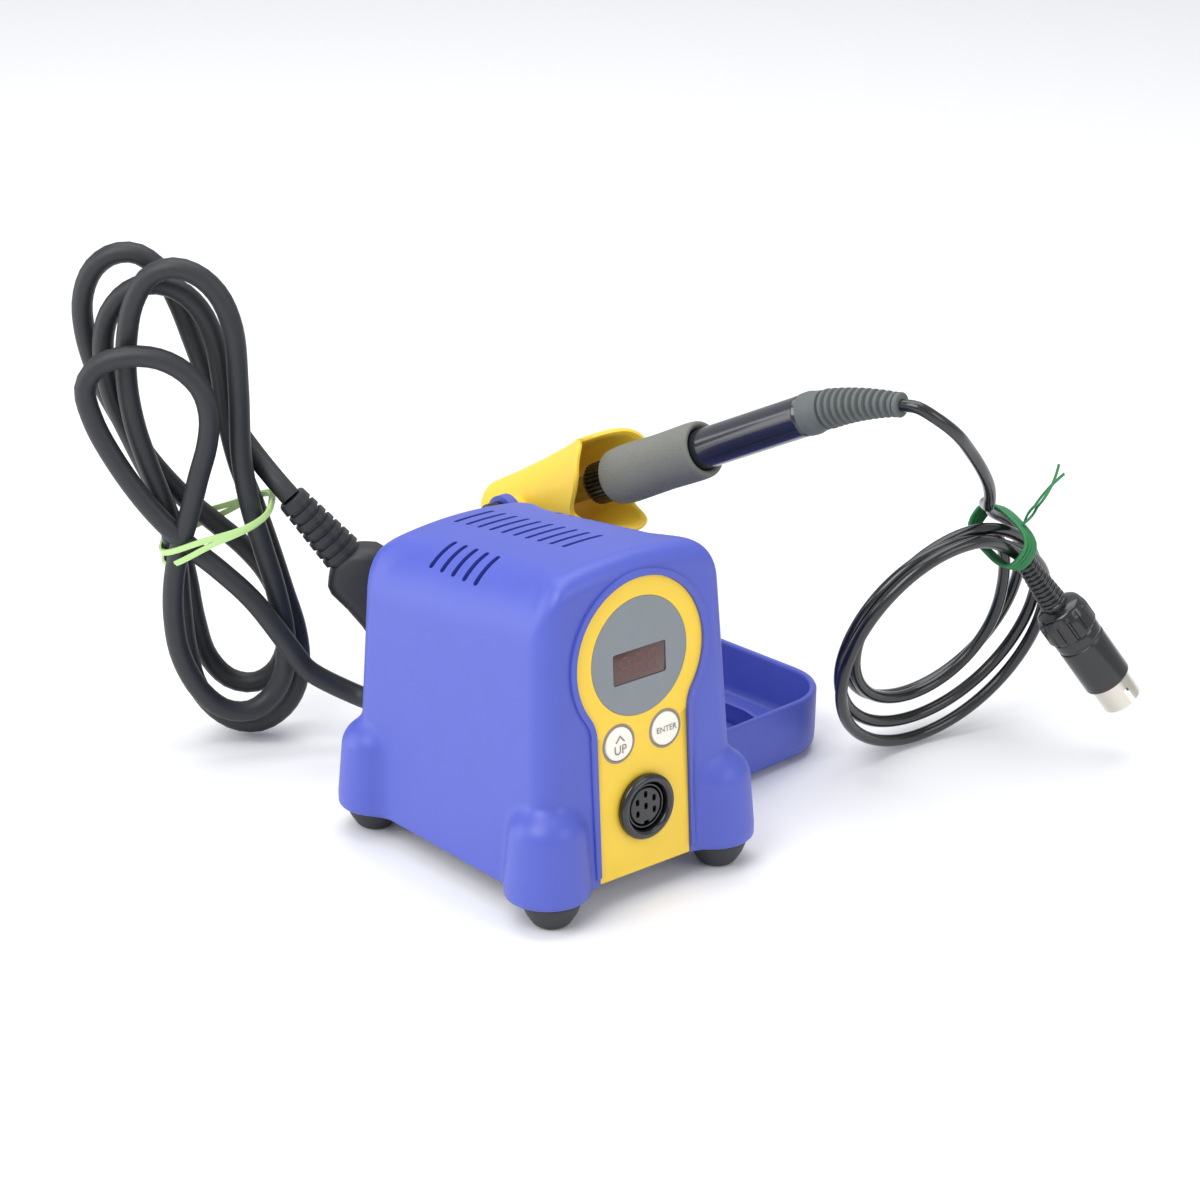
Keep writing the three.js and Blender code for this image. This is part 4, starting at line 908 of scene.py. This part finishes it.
class SOLDERING_OT_holder(bpy.types.Operator):
    """Makes the free-standing holder: the tray with its fins, and the case with its brass wool"""

    bl_idname = "soldering.holder"
    bl_label = "Holder"

    def execute(self, context):
        top = TRAY_TOP
        wall = [(-3.0, 2.3), (-1.4, 2.7), (-0.5, 4.0), (-0.2, 8.0), (0, top - 1.0), (-0.35, top - 0.3),
                (-1.0, top), (-1.9, top), (-2.4, top - 0.4), (-2.7, top - 1.2), (-2.9, 8.5),
                (-3.7, 6.4), (-5.4, 5.3)]
        rings = [[(x, y, z) for x, y in tray_outline(offset)] for offset, z in wall]
        tray = skinned(rings)
        fin = soften([(-17, 5.0), (-17, 8.5), (-8, 12.5), (8, 12.5), (17, 8.5), (17, 5.0)], 4)
        fins = [moved(prism(fin, -0.8, 0.8, 0.3, 2), shift(k * 16, -6, 0) @ turn(90, "Z") @ turn(90, "X"))
                for k in (-1, 0, 1)]
        piece("blue_tray", joined(tray, *fins), HOLDER, "blue_abs", "holder", "holder_tray", angle=40)
        self.case()
        self.wool(context)
        return {"FINISHED"}

    def case(self):
        half = HOLDER_WIDTH / 2
        outline = soften([(half, 2.3), (half, CASE_TOP), (-half, CASE_TOP), (-half, 2.3)], 19, 12)
        block = prism(outline, 0, CASE_BACK - CASE_FRONT, 1.6, 4)
        block = moved(block, shift(0, CASE_BACK, 0) @ turn(90, "X"))
        case = mesh_object("blue_case", block, HOLDER)
        ears = []
        for side in (-1, 1):
            ear = [(PIVOT_Y - 13, CASE_TOP - 5)]
            for k in range(21):
                angle = math.pi - math.pi * k / 20
                ear.append((PIVOT_Y + EAR_RADIUS * math.cos(angle), PIVOT_Z + EAR_RADIUS * math.sin(angle)))
            ear.append((PIVOT_Y + 13, CASE_TOP - 5))
            upright = Matrix(((0, 0, 1, 0), (1, 0, 0, 0), (0, 1, 0, 0), (0, 0, 0, 1)))
            middle = side * EAR_SPREAD
            ears.append(moved(prism(ear, middle - EAR_THICK / 2, middle + EAR_THICK / 2, 0.6), upright))
        carve(case, ears, HOLDER, "UNION")
        pot = moved(prism(disc_outline(POT_RADIUS, sides=72), -6, CASE_BACK - CASE_FRONT - 4),
                    shift(0, CASE_FRONT, POT_RISE) @ ALONG)
        bore = moved(prism(disc_outline(2.3, sides=32), -60, 60), shift(0, PIVOT_Y, PIVOT_Z) @ ACROSS)
        carve(case, [joined(pot, bore)], HOLDER)
        piece("blue_case", case, None, "blue_abs", "holder", "holder_case", angle=40)

    def wool(self, context):
        """A loose pad of curled turnings in front of a dense core."""
        draw = random.Random(8)
        core = moved(lathe([(0, 9), *soften([(17, 9), (20.5, 14), (20.5, 46), (0, 46)], 3)], 40),
                     shift(0, CASE_FRONT, POT_RISE) @ ALONG)
        curls = []
        for k in range(110):
            angle, reach = draw.uniform(0, 2 * math.pi), 17.5 * math.sqrt(draw.random())
            centre = Vector((reach * math.cos(angle), draw.uniform(3.5, 13), reach * math.sin(angle)))
            way = Vector([draw.uniform(-1, 1) for _ in range(3)]).normalized()
            side = way.orthogonal().normalized()
            other = way.cross(side)
            width, rise, turns = draw.uniform(1.2, 2.6), draw.uniform(1.2, 2.4), draw.uniform(1.3, 2.4)
            line = []
            for j in range(22):
                t = j / 21
                bend = 2 * math.pi * turns * t
                line.append(centre + side * width * math.cos(bend) + other * width * math.sin(bend)
                            + way * rise * (t - 0.5) * turns)
            if max(math.hypot(p.x, p.z) for p in line) < POT_RADIUS - 0.8:
                curls.append(tube(line, 0.42, 4, 0.35))
        pad = joined(*(moved(shape, shift(0, CASE_FRONT, POT_RISE)) for shape in curls), core)
        piece("brass_turnings", pad, HOLDER, "drawn_brass", "holder", "brass_wool", angle=60)


class SOLDERING_OT_receptacle(bpy.types.Operator):
    """Makes the yellow receptacle with its three lobes, and the two tilt screws"""

    bl_idname = "soldering.receptacle"
    bl_label = "Receptacle"

    def execute(self, context):
        mouth, long, sides = PIVOT_AHEAD + 2.5, CONE_LENGTH, 144
        end = mouth - long

        def reach(z):
            return THROAT_RADIUS + (MOUTH_RADIUS - THROAT_RADIUS) * max(0.0, (z - end) / long) ** 1.4

        def notch(angle):
            """How far the rim drops between the lobes, from 0 to 1."""
            wave = 0.5 - 0.5 * math.cos(3 * (angle - math.radians(30)))
            return wave**1.7

        rings = []
        for wide, share in ((0, 0), (0, 0.3), (0, 0.6), (0, 0.85), (0, 0.955), (0.25, 0.982), (0.9, 1.0),
                            (1.9, 1.0), (2.6, 0.985), (2.3, 0.955), (2, 0.85), (2, 0.6), (2, 0.3), (2, 0)):
            ring = []
            for k in range(sides):
                angle = 2 * math.pi * k / sides
                top = mouth - 13.5 * notch(angle)
                z = end + (top - end) * share
                flare = 1.2 * (1 - notch(angle)) * max(0, share - 0.6) / 0.4
                r = reach(z) + wide + flare
                ring.append((r * math.cos(angle), r * math.sin(angle), z))
            rings.append(ring)
        shell = skinned([*rings, rings[0]], caps=False)
        body = mesh_object("yellow_receptacle", shell, PIVOT)
        half = EAR_SPREAD - EAR_THICK / 2 - 0.3
        hubs = [moved(prism(disc_outline(5, sides=40), low, high, 0.4), ACROSS)
                for low, high in ((reach(0) + 0.9, half), (-half, -reach(0) - 0.9))]
        carve(body, hubs, PIVOT, "UNION")
        bore = moved(prism(disc_outline(1.9, sides=32), -60, 60), ACROSS)
        carve(body, [bore], PIVOT)
        piece("yellow_receptacle", body, None, "yellow_pbt", "receptacle", "iron_receptacle", angle=40)
        outer = EAR_SPREAD + EAR_THICK / 2
        knob = soften([(1.6, outer + 0.3), (5.5, outer + 0.3), (5.5, outer + 6), (3.6, outer + 6.6),
                       (3.2, outer + 5.6), (0, outer + 5.6)], 0.7)

        def grip(angle, r, z):
            return r - (0.35 if r > 5 and math.cos(24 * angle) > 0.3 else 0)

        screw = lathe([(0, reach(0) + 2), (1.6, reach(0) + 2), *knob], 96, grip)
        base = HOLDER @ shift(0, PIVOT_Y, PIVOT_Z)
        for side, way in (("right", Matrix.Identity(4)), ("left", turn(180, "Z"))):
            piece(f"knob_{side}", screw, base @ way @ ACROSS, "black_nylon", f"tilt_screw_{side}",
                  f"tilt_screw_{side}")
        return {"FINISHED"}


def bent(shape, length, angle):
    """Bends a shape along +Z, from z = 0 on, down towards -Y."""
    radius = length / angle
    verts = []
    for x, y, z in shape[0]:
        if z > 0:
            a = z / radius
            x, y, z = x, (radius + y) * math.cos(a) - radius, (radius + y) * math.sin(a)
        verts.append((x, y, z))
    return verts, shape[1]


class SOLDERING_OT_iron(bpy.types.Operator):
    """Makes the iron: tip, barrel, nut, foam grip, handle and ribbed boot"""

    bl_idname = "soldering.iron"
    bl_label = "Iron"

    def execute(self, context):
        r = context.scene.soldering_sizes.foam / MM
        bore = HANDLE_RADIUS + 0.25
        foam = soften([(bore, 0.2), (r - 0.7, 0.2), (r - 0.1, 7), (r - 0.5, 25), (r - 0.2, 41),
                       (r - 0.6, FOAM_LENGTH), (bore, FOAM_LENGTH - 0.6)], 2.6, 6, closed=True)
        piece("foam_sleeve", lathe([*foam, foam[0]], 72), TOOL, "grey_foam", "iron", "foam_grip", angle=60)
        handle = [(0, HANDLE_LENGTH), *soften([(6.6, HANDLE_LENGTH), (7.35, 92.6), (7.35, 91.5)], 0.4),
                  *soften([(7.35, 50), (7.35, 0), (3.4, 0), (3.4, 24)], 0.5), (0, 24)]
        piece("navy_handle", lathe(handle, 72), TOOL, "navy_nylon", "iron", "handle")
        self.nut()
        low = BARREL_END
        barrel = [(3.2, low), *soften([(3.7, low), (4.5, low + 2), (4.5, -0.3)], 0.5), (3.2, -0.3),
                  (3.2, low)]
        piece("steel_barrel", lathe(barrel, 48), TOOL, "rolled_steel", "iron", "heater_barrel")
        point = soften([(0.45, low - 19.8), (2.6, low - 11), (2.9, low - 1), (2.9, low + 18)], 1.0)
        tip = [(0, low - 20), *point, (2.3, low + 18), (2.3, low + 3), (0, low + 3)]
        piece("plated_tip", lathe(tip, 40), TOOL, "bright_nickel", "iron", "tip")
        self.boot()
        return {"FINISHED"}

    def nut(self):
        """The knurled nut that clamps the barrel: 30 straight flutes."""
        def flute(angle, r, z):
            return r - (0.7 * max(0.0, math.cos(30 * angle)) ** 0.5 if r > 7.2 else 0)

        rim = soften([(6.7, -10.5), (7.8, -9.3), (7.8, -1.0), (7.2, -0.3)], 0.4)
        profile = [(4.8, -10.5), *rim, (4.8, -0.3), (4.8, -10.5)]
        piece("fluted_nut", lathe(profile, 180, flute), TOOL, "black_nylon", "barrel_nut", "barrel_nut",
              angle=50)

    def boot(self):
        """The strain relief: a plain collar, then eleven ribs that shrink towards the cord."""
        profile = [(0, 0.3), *soften([(7.6, 0.3), (7.7, 3.4), (7.1, 5.6), (6.8, 8.6)], 0.8)]
        for k in range(11):
            z = 9.4 + k * 2.72
            r = 7.0 - 0.26 * k
            profile += soften([(r - 1.35, z - 0.6), (r - 1.35, z + 0.1), (r - 0.1, z + 0.35), (r, z + 1.6),
                               (r - 1.35, z + 1.95)], 0.4, 3)
        profile += [*soften([(4.3, BOOT_LENGTH - 1.6), (4.35, BOOT_LENGTH), (0, BOOT_LENGTH)], 0.6)]
        shape = bent(lathe(profile, 56), BOOT_LENGTH, BOOT_BEND)
        piece("ribbed_boot", shape, TOOL @ shift(0, 0, HANDLE_LENGTH), "grey_elastomer", "iron", "cord_boot",
              angle=50)


# ---------------------------------------------------------------- mains cord


def hank_point(p, q, depth):
    """A point of the hank: across, up, and towards the front of its bundle."""
    return HANK @ Vector((p, -depth, q))


def hank_route():
    """The mains cord: out of the gland, four laps of the hank, and into the plug's relief."""
    lead = [(-5, 81.29, 24), (-5, 86.3, 23.9), (-4, 97, 21.5)]
    laps = [
        (18.5, 32.5, 12), (13.6, 39.7, 13), (-0.4, 59.3, 12), (-12, 71, 12), (-24, 81.5, 12),
        (-36, 95, 12), (-47, 112, 12), (-54, 127, 12), (-56, 139, 12), (-50.5, 147, 12),
        (-41, 150, 12), (-31, 149.5, 12), (-22.5, 145.5, 12), (-16, 138.5, 12), (-13.4, 129, 12),
        (-14.5, 118, 12), (-18, 106, 12), (-21.5, 93, 12), (-25.5, 80, 12), (-28.3, 67, 12),
        (-29, 53, 12), (-27, 38, 12), (-20.5, 24.5, 12), (-12, 16.5, 10.5), (-3, 15, 8),
        (4.6, 20, 5), (9.0, 29, 4.2), (9.8, 42, 4), (7, 60, 4), (3, 76, 4), (-1, 92, 4),
        (-3.6, 110, 4), (-3.8, 136, 4), (-5, 158, 4), (-9.5, 170, 4), (-16.5, 177, 4),
        (-24.5, 179.5, 4), (-33, 176.5, 4), (-39, 167, 4), (-42, 153, 4), (-42.6, 138, 4),
        (-40.5, 122, 4), (-36, 106, 4), (-31, 90, 4), (-28, 72, 4), (-27.3, 55, 3), (-26.3, 36, 0),
        (-23.5, 20, -3), (-17.5, 10.5, -4), (-9.6, 5.6, -4), (-1.5, 5.2, -4), (6, 9.6, -4),
        (11.8, 18, -4), (14, 29, -4), (13, 42, -4), (9, 57, -4), (4.6, 73, -4), (-0.5, 90, -4),
        (-5.5, 105, -4), (-9, 122, -4), (-10.6, 138, -4), (-12.5, 151, -4), (-17, 162, -4),
        (-24, 169, -4), (-33, 171.5, -4), (-42, 168.5, -4), (-49, 160, -4), (-51.6, 147, -4),
        (-49, 130, -4), (-42, 112, -4), (-34.5, 95, -4), (-29, 78, -4.6), (-26, 61, -6.5),
        (-24, 43, -9.5), (-20.5, 28, -12), (-13, 19, -12.4), (-4, 17.2, -12.4), (4, 22, -12.4),
        (8.4, 32, -12.4), (7.6, 46, -12.4), (2.5, 60, -12.4), (-6, 71, -12.4), (-16, 80, -12.4),
        (-27.5, 90.5, -12.4), (-38.5, 104, -12.4), (-48.5, 121, -12.4), (-55.5, 137, -12.4),
        (-59, 152, -12.4), (-59, 164, -12.4), (-55, 174, -12.4), (-48, 179.5, -12.4),
        (-39.5, 180, -12.4), (-31.5, 174, -12.4), (-25.5, 162, -12.4), (-20.5, 147, -12.4),
        (-15.5, 132, -12.4), (-9.5, 119.5, -12.4), (-3.4, 110.6, -11), (2.6, 104, -7),
        (8.3, 98.8, -2.2), (13, 94, 0),
    ]
    return [STATION @ Vector(p) for p in lead] + [hank_point(*lap) for lap in laps]


class SOLDERING_OT_power_cord(bpy.types.Operator):
    """Makes the mains cord with its hank, rubber band and plug"""

    bl_idname = "soldering.power_cord"
    bl_label = "Power cord"

    def execute(self, context):
        diameter = context.scene.soldering_sizes.power_cord / MM
        route = smooth_run(hank_route(), 3.5 * MM)
        curve = cord_curve("mains_cord", route, diameter)
        piece("mains_cord", curve, None, "black_rubber", "station", ("power_cord", "power_cord_hank"))
        band = self.band()
        plug = self.plug()
        return {"FINISHED"}

    def band(self):
        """The band goes twice round the hank's waist, pulled in where it crosses the strands."""
        parts = []
        for k, (lift, tilt) in enumerate(((0.0, -27), (2.6, -21))):
            ring = []
            for j in range(72):
                angle = 2 * math.pi * j / 72
                across, deep = math.cos(angle), math.sin(angle)
                reach = (abs(across / 21.5) ** 3.2 + abs(deep / 17.4) ** 3.2) ** (-1 / 3.2)
                ring.append(Vector((reach * across, reach * deep, 0.5 * math.sin(3 * angle + k))))
            rows = []
            for spot in ring:
                out = Vector((spot.x, spot.y, 0)).normalized()
                rows.append([spot + out * a + Vector((0, 0, b)) for a, b in
                             ((-0.45, -1.0), (0.45, -1.0), (0.55, 0), (0.45, 1.0), (-0.45, 1.0))])
            loop = skinned([*rows, rows[0]], caps=False)
            parts.append(moved(loop, shift(-13.5, 0, 82 + lift) @ turn(tilt, "Y")))
        return piece("elastic_band", joined(*parts), HANK, "pale_band", "station", "rubber_band", angle=50)

    def plug(self):
        """A flat moulded plug: seven ribs of strain relief, then the body with its grip hollows."""
        rings = []
        for z, half_width, half_thick in self.plug_sections():
            radius = min(half_thick, half_width) * 0.78
            rings.append([(x, y, z) for x, y in rounded_box(2 * half_width, 2 * half_thick, radius, steps=8)])
        body = mesh_object("moulded_plug", skinned(rings), PLUG)
        slots = [moved(box_shape(7, 1.9, 9), shift(side * 6.4, 0, 62.5)) for side in (-1, 1)]
        carve(body, [joined(*slots)], PLUG)
        return piece("moulded_plug", body, None, "black_rubber", "station", "mains_plug", angle=50)

    def plug_sections(self):
        made = [(0, 4.9, 4.9), (0.6, 5.2, 5.2)]
        for k in range(7):
            z, r = 1.6 + k * 3.9, 5.3 + k * 0.28
            for rise, wider in ((0, 0), (2.3, 0.15), (2.5, -0.9), (3.6, -0.8)):
                made.append((z + rise, r + wider, r + wider))
        made += [(29.0, 7.2, 7.0), (30.5, 9.0, 7.6), (33, 11.6, 7.9), (36, 12.6, 8), (44, 12.2, 7.4),
                 (52, 12.4, 7.6), (58, 13, 8), (62.2, 13, 8), (63, 12.4, 7.4)]
        return made


# ---------------------------------------------------------------- the iron's cord

IRON_LEAD = [
    (112.3, -52.3, 146.9), (114.2, -57.6, 147.1), (118.5, -62.3, 143.6), (126, -64.5, 137.2),
    (135.5, -62.5, 128.3), (144.5, -60.2, 118.6), (151.5, -57, 110.5), (155.4, -54.2, 104.6),
    (157.2, -52.2, 100.6),
]


def coil_route(turns):
    """The coil in its own plane: every turn has its own width and all come together at the tie."""
    wide = [42.5, 31.0, 40.0, 46.5, 48.0]
    middles = [(0.0, 0.0), (-1.5, -2.5), (2.5, 1.0), (-2.5, -1.5), (0.0, 0.0)]
    gathered = [43.0, 36.5, 41.5, 38.0, 41.0]
    points = []
    per_turn = 28
    for k in range(turns * per_turn + 1):
        t = k / per_turn
        whole, part = min(int(t), turns - 1), t - min(int(t), turns - 1)
        ease = part * part * (3 - 2 * part)
        radius = wide[whole] + (wide[whole + 1] - wide[whole]) * ease
        cx = middles[whole][0] + (middles[whole + 1][0] - middles[whole][0]) * ease
        cy = middles[whole][1] + (middles[whole + 1][1] - middles[whole][1]) * ease
        tied = gathered[whole] + (gathered[whole + 1] - gathered[whole]) * ease
        away = min(part, 1 - part)
        pull = math.exp(-((away / 0.1) ** 2))
        angle = TIE_ANGLE - 2 * math.pi * t
        open_spot = Vector((cx + radius * math.cos(angle), cy + radius * math.sin(angle)))
        spot = open_spot.lerp(Vector((tied * math.cos(angle), tied * math.sin(angle))), pull)
        points.append(COIL @ Vector((spot.x, spot.y, -8.6 + COIL_PITCH * t)))
    return points


class SOLDERING_OT_iron_cord(bpy.types.Operator):
    """Makes the iron's cord with its tied coil, and the connector at its end"""

    bl_idname = "soldering.iron_cord"
    bl_label = "Iron cord"

    def execute(self, context):
        sizes = context.scene.soldering_sizes
        diameter = sizes.iron_cord / MM
        lead = [STATION @ Vector(p) for p in IRON_LEAD]
        join = COIL @ Vector((8.6, 48.4, -4.5))  # lets the lead come onto the first turn without a kink
        coil = coil_route(sizes.coil_turns)
        foot = CONNECTOR @ Vector()
        route = smooth_run([*lead, join, *coil[:-2], foot, CONNECTOR @ Vector((0, 0, 3))], CORD_STEP * MM)
        curve = cord_curve("iron_lead", route, diameter)
        piece("iron_lead", curve, None, "gloss_pvc", "iron", ("iron_cord", "iron_cord_coil"))
        tie = self.tie()
        parts = self.connector()
        return {"FINISHED"}

    def tie(self):
        """A flat green tie: five wraps round the strands, two tails twisted and then spread."""
        place = COIL @ turn(math.degrees(TIE_ANGLE), "Z") @ shift(39, 0, 0.8)
        loops = []
        for k in range(5):
            line = []
            for j in range(41):
                angle = 2 * math.pi * j / 40
                reach = (abs(math.cos(angle) / 7.6) ** 3 + abs(math.sin(angle) / 13.2) ** 3) ** (-1 / 3)
                line.append(Vector((reach * math.cos(angle), (k - 2) * 1.5 + 0.5 * math.sin(angle * 2 + k),
                                    reach * math.sin(angle))))
            loops.append(tube(line, 0.75, 8))
        tails = []
        for side in (-1, 1):
            line = []
            for j in range(40):
                t = j / 39
                twist = 9 * t if t < 0.35 else 3.15 + (t - 0.35) * 1.5
                spread = 0.8 + (0 if t < 0.35 else (t - 0.35) * (7.5 if side > 0 else 4.0))
                out = side * spread
                line.append(Vector((7.4 + 25 * t, out * math.cos(twist), 4 + out * math.sin(twist))))
            tails.append(tube(line, 0.9, 8, 0.5))
        return piece("green_twist", joined(*loops, *tails), place, "green_tie", "iron", "twist_tie",
                     angle=60)

    def connector(self):
        boot = [(0, -0.3), (3.1, -0.3)]
        for k in range(11):
            z, r = 0.8 + k * 1.85, 3.5 + k * 0.15
            boot += soften([(r - 0.6, z - 0.2), (r, z), (r + 0.05, z + 0.95), (r - 0.6, z + 1.2)], 0.2, 2)
        boot += [(4.9, 21), (4.9, 22.3), (0, 22.3)]
        made = [piece("connector_relief", lathe(boot, 40), CONNECTOR, "gloss_pvc", "iron", "connector_boot")]

        def grip(angle, r, z):
            return r - (0.55 if r > 9 and math.cos(14 * angle) > 0.55 else 0)

        rim = soften([(5.4, 22.2), (8.6, 23.8), (9.7, 27.4), (9.7, 34.4), (8.6, 34.5)], 1.0, 6)
        collar = [(0, 22.2), *rim, (0, 34.5)]
        made.append(piece("connector_grip", lathe(collar, 168, grip), CONNECTOR, "black_nylon", "iron",
                          "connector_collar", angle=50))
        top = 58.7
        wall = soften([(8.6, 34.7), (8.9, 35.4), (8.9, 38.4), (8.5, 38.7), (8.5, 39.6), (8.9, 39.9),
                       (8.9, top - 0.5), (8.4, top), (7.75, top), (7.75, top - 6)], 0.4)
        body = lathe([(0, 34.7), *wall, (0, top - 6)], 72)
        made.append(piece("connector_barrel", body, CONNECTOR, "black_nylon", "iron", "connector_body"))
        sleeve = [(6.7, top - 5.6), (6.7, top + 10), (7.35, top + 10), (7.4, top + 9.7), (7.4, top - 5.6),
                  (6.7, top - 5.6)]
        shell = mesh_object("connector_tube", lathe(sleeve, 72), CONNECTOR)
        key = [prism(rounded_box(2.2, 2.0, 0.3, 7.2 * math.cos(a), 7.2 * math.sin(a), 3), top + 4, top + 12)
               for a in (0.6, 2.7)]
        carve(shell, [joined(*key)], CONNECTOR)
        made.append(piece("connector_tube", shell, None, "bright_nickel", "iron", "connector_shell"))
        return made


class SOLDERING_OT_inside(bpy.types.Operator):
    """Gives the pieces inside the base unit and the small fittings their finishes"""

    bl_idname = "soldering.inside"
    bl_label = "Fittings"

    def execute(self, context):
        for name, finish in KEPT.items():
            obj = nodes[name]
            obj.data.materials.clear()
            obj.data.materials.append(finishes()[finish])
            if name in ROUNDED:
                rounding = obj.modifiers.new("rounded edges", "BEVEL")
                rounding.width = 0.3 * MM
                rounding.segments = 2
                rounding.limit_method = "ANGLE"
                rounding.angle_limit = math.radians(40)
        return {"FINISHED"}


class SOLDERING_OT_stage(bpy.types.Operator):
    """Makes the floor, the lights and the camera"""

    bl_idname = "soldering.stage"
    bl_label = "Stage"

    def execute(self, context):
        reach, low = 6, -0.0001  # in metres; just under the feet
        square = [(-reach, -reach, low), (reach, -reach, low), (reach, reach, low), (-reach, reach, low)]
        floor = mesh_object("floor", (square, [[0, 1, 2, 3]]), Matrix.Identity(4))
        material, tree, _ = finish_tree("pale_floor")
        close_tree(tree, None, Base_Color=linear("#F4F4F5"), Roughness=0.6)
        floor.data.materials.append(material)
        self.lights(context, floor)
        data = bpy.data.cameras.new("camera")
        data.lens = LENS
        data.sensor_width = 36
        camera = bpy.data.objects.new("camera", data)
        camera.location = STATION @ Vector(CAMERA_SPOT)
        aim = turn(CAMERA_TURN, "Z") @ turn(90 - CAMERA_DROP, "X") @ turn(CAMERA_ROLL, "Z")
        camera.rotation_euler = aim.to_euler()
        context.scene.collection.objects.link(camera)
        context.scene.camera = camera
        return {"FINISHED"}

    def lights(self, context, floor):
        world = bpy.data.worlds.new("studio")
        world.use_nodes = True
        world.node_tree.nodes["Background"].inputs[0].default_value = linear("#F6F8FC")
        world.node_tree.nodes["Background"].inputs[1].default_value = 0.66
        context.scene.world = world
        for name, spot, size, power in (
            ("key", (-1.1, -0.2, 1.3), 1.0, 15),
            ("overhead", (0.2, 0.3, 1.6), 1.4, 14.5),
            ("front", (0.5, -1.6, 0.9), 0.9, 5.5),
            ("low_left", (-1.2, 1.0, 0.4), 1.0, 7),
        ):
            data = bpy.data.lights.new(name, "AREA")
            data.size = size
            data.energy = power
            lamp = bpy.data.objects.new(name, data)
            lamp.location = spot
            lamp.rotation_euler = (-Vector(spot) + Vector((0, 0, 0.06))).to_track_quat("-Z", "Y").to_euler()
            context.scene.collection.objects.link(lamp)
        context.scene.view_settings.view_transform = "Standard"


STEPS = ("stage", "power_cord", "iron_cord", "housing", "panel", "buttons", "socket", "feet", "holder",
         "receptacle", "iron", "inside")


class SOLDERING_PT_panel(bpy.types.Panel):
    """Lists the pieces and what can be changed"""

    bl_idname = "SOLDERING_PT_panel"
    bl_label = "Soldering station"
    bl_space_type = "VIEW_3D"
    bl_region_type = "UI"
    bl_category = "Soldering"

    def draw(self, context):
        for group in (context.scene.soldering_sizes, context.scene.soldering_colours):
            for key in group.__annotations__:
                self.layout.prop(group, key)
        for step in STEPS:
            self.layout.operator(f"soldering.{step}")


CLASSES = (SolderingColours, SolderingSizes, SOLDERING_OT_housing, SOLDERING_OT_panel, SOLDERING_OT_buttons,
           SOLDERING_OT_socket, SOLDERING_OT_feet, SOLDERING_OT_holder, SOLDERING_OT_receptacle,
           SOLDERING_OT_iron, SOLDERING_OT_power_cord, SOLDERING_OT_iron_cord, SOLDERING_OT_inside,
           SOLDERING_OT_stage, SOLDERING_PT_panel)


def register():
    for kind in CLASSES:
        bpy.utils.register_class(kind)
    bpy.types.Scene.soldering_sizes = bpy.props.PointerProperty(type=SolderingSizes)
    bpy.types.Scene.soldering_colours = bpy.props.PointerProperty(type=SolderingColours)


def unregister():
    del bpy.types.Scene.soldering_colours
    del bpy.types.Scene.soldering_sizes
    for kind in reversed(CLASSES):
        bpy.utils.unregister_class(kind)


def main():
    register()
    for step in STEPS:
        getattr(bpy.ops.soldering, step)()


if __name__ == "__main__":
    main()
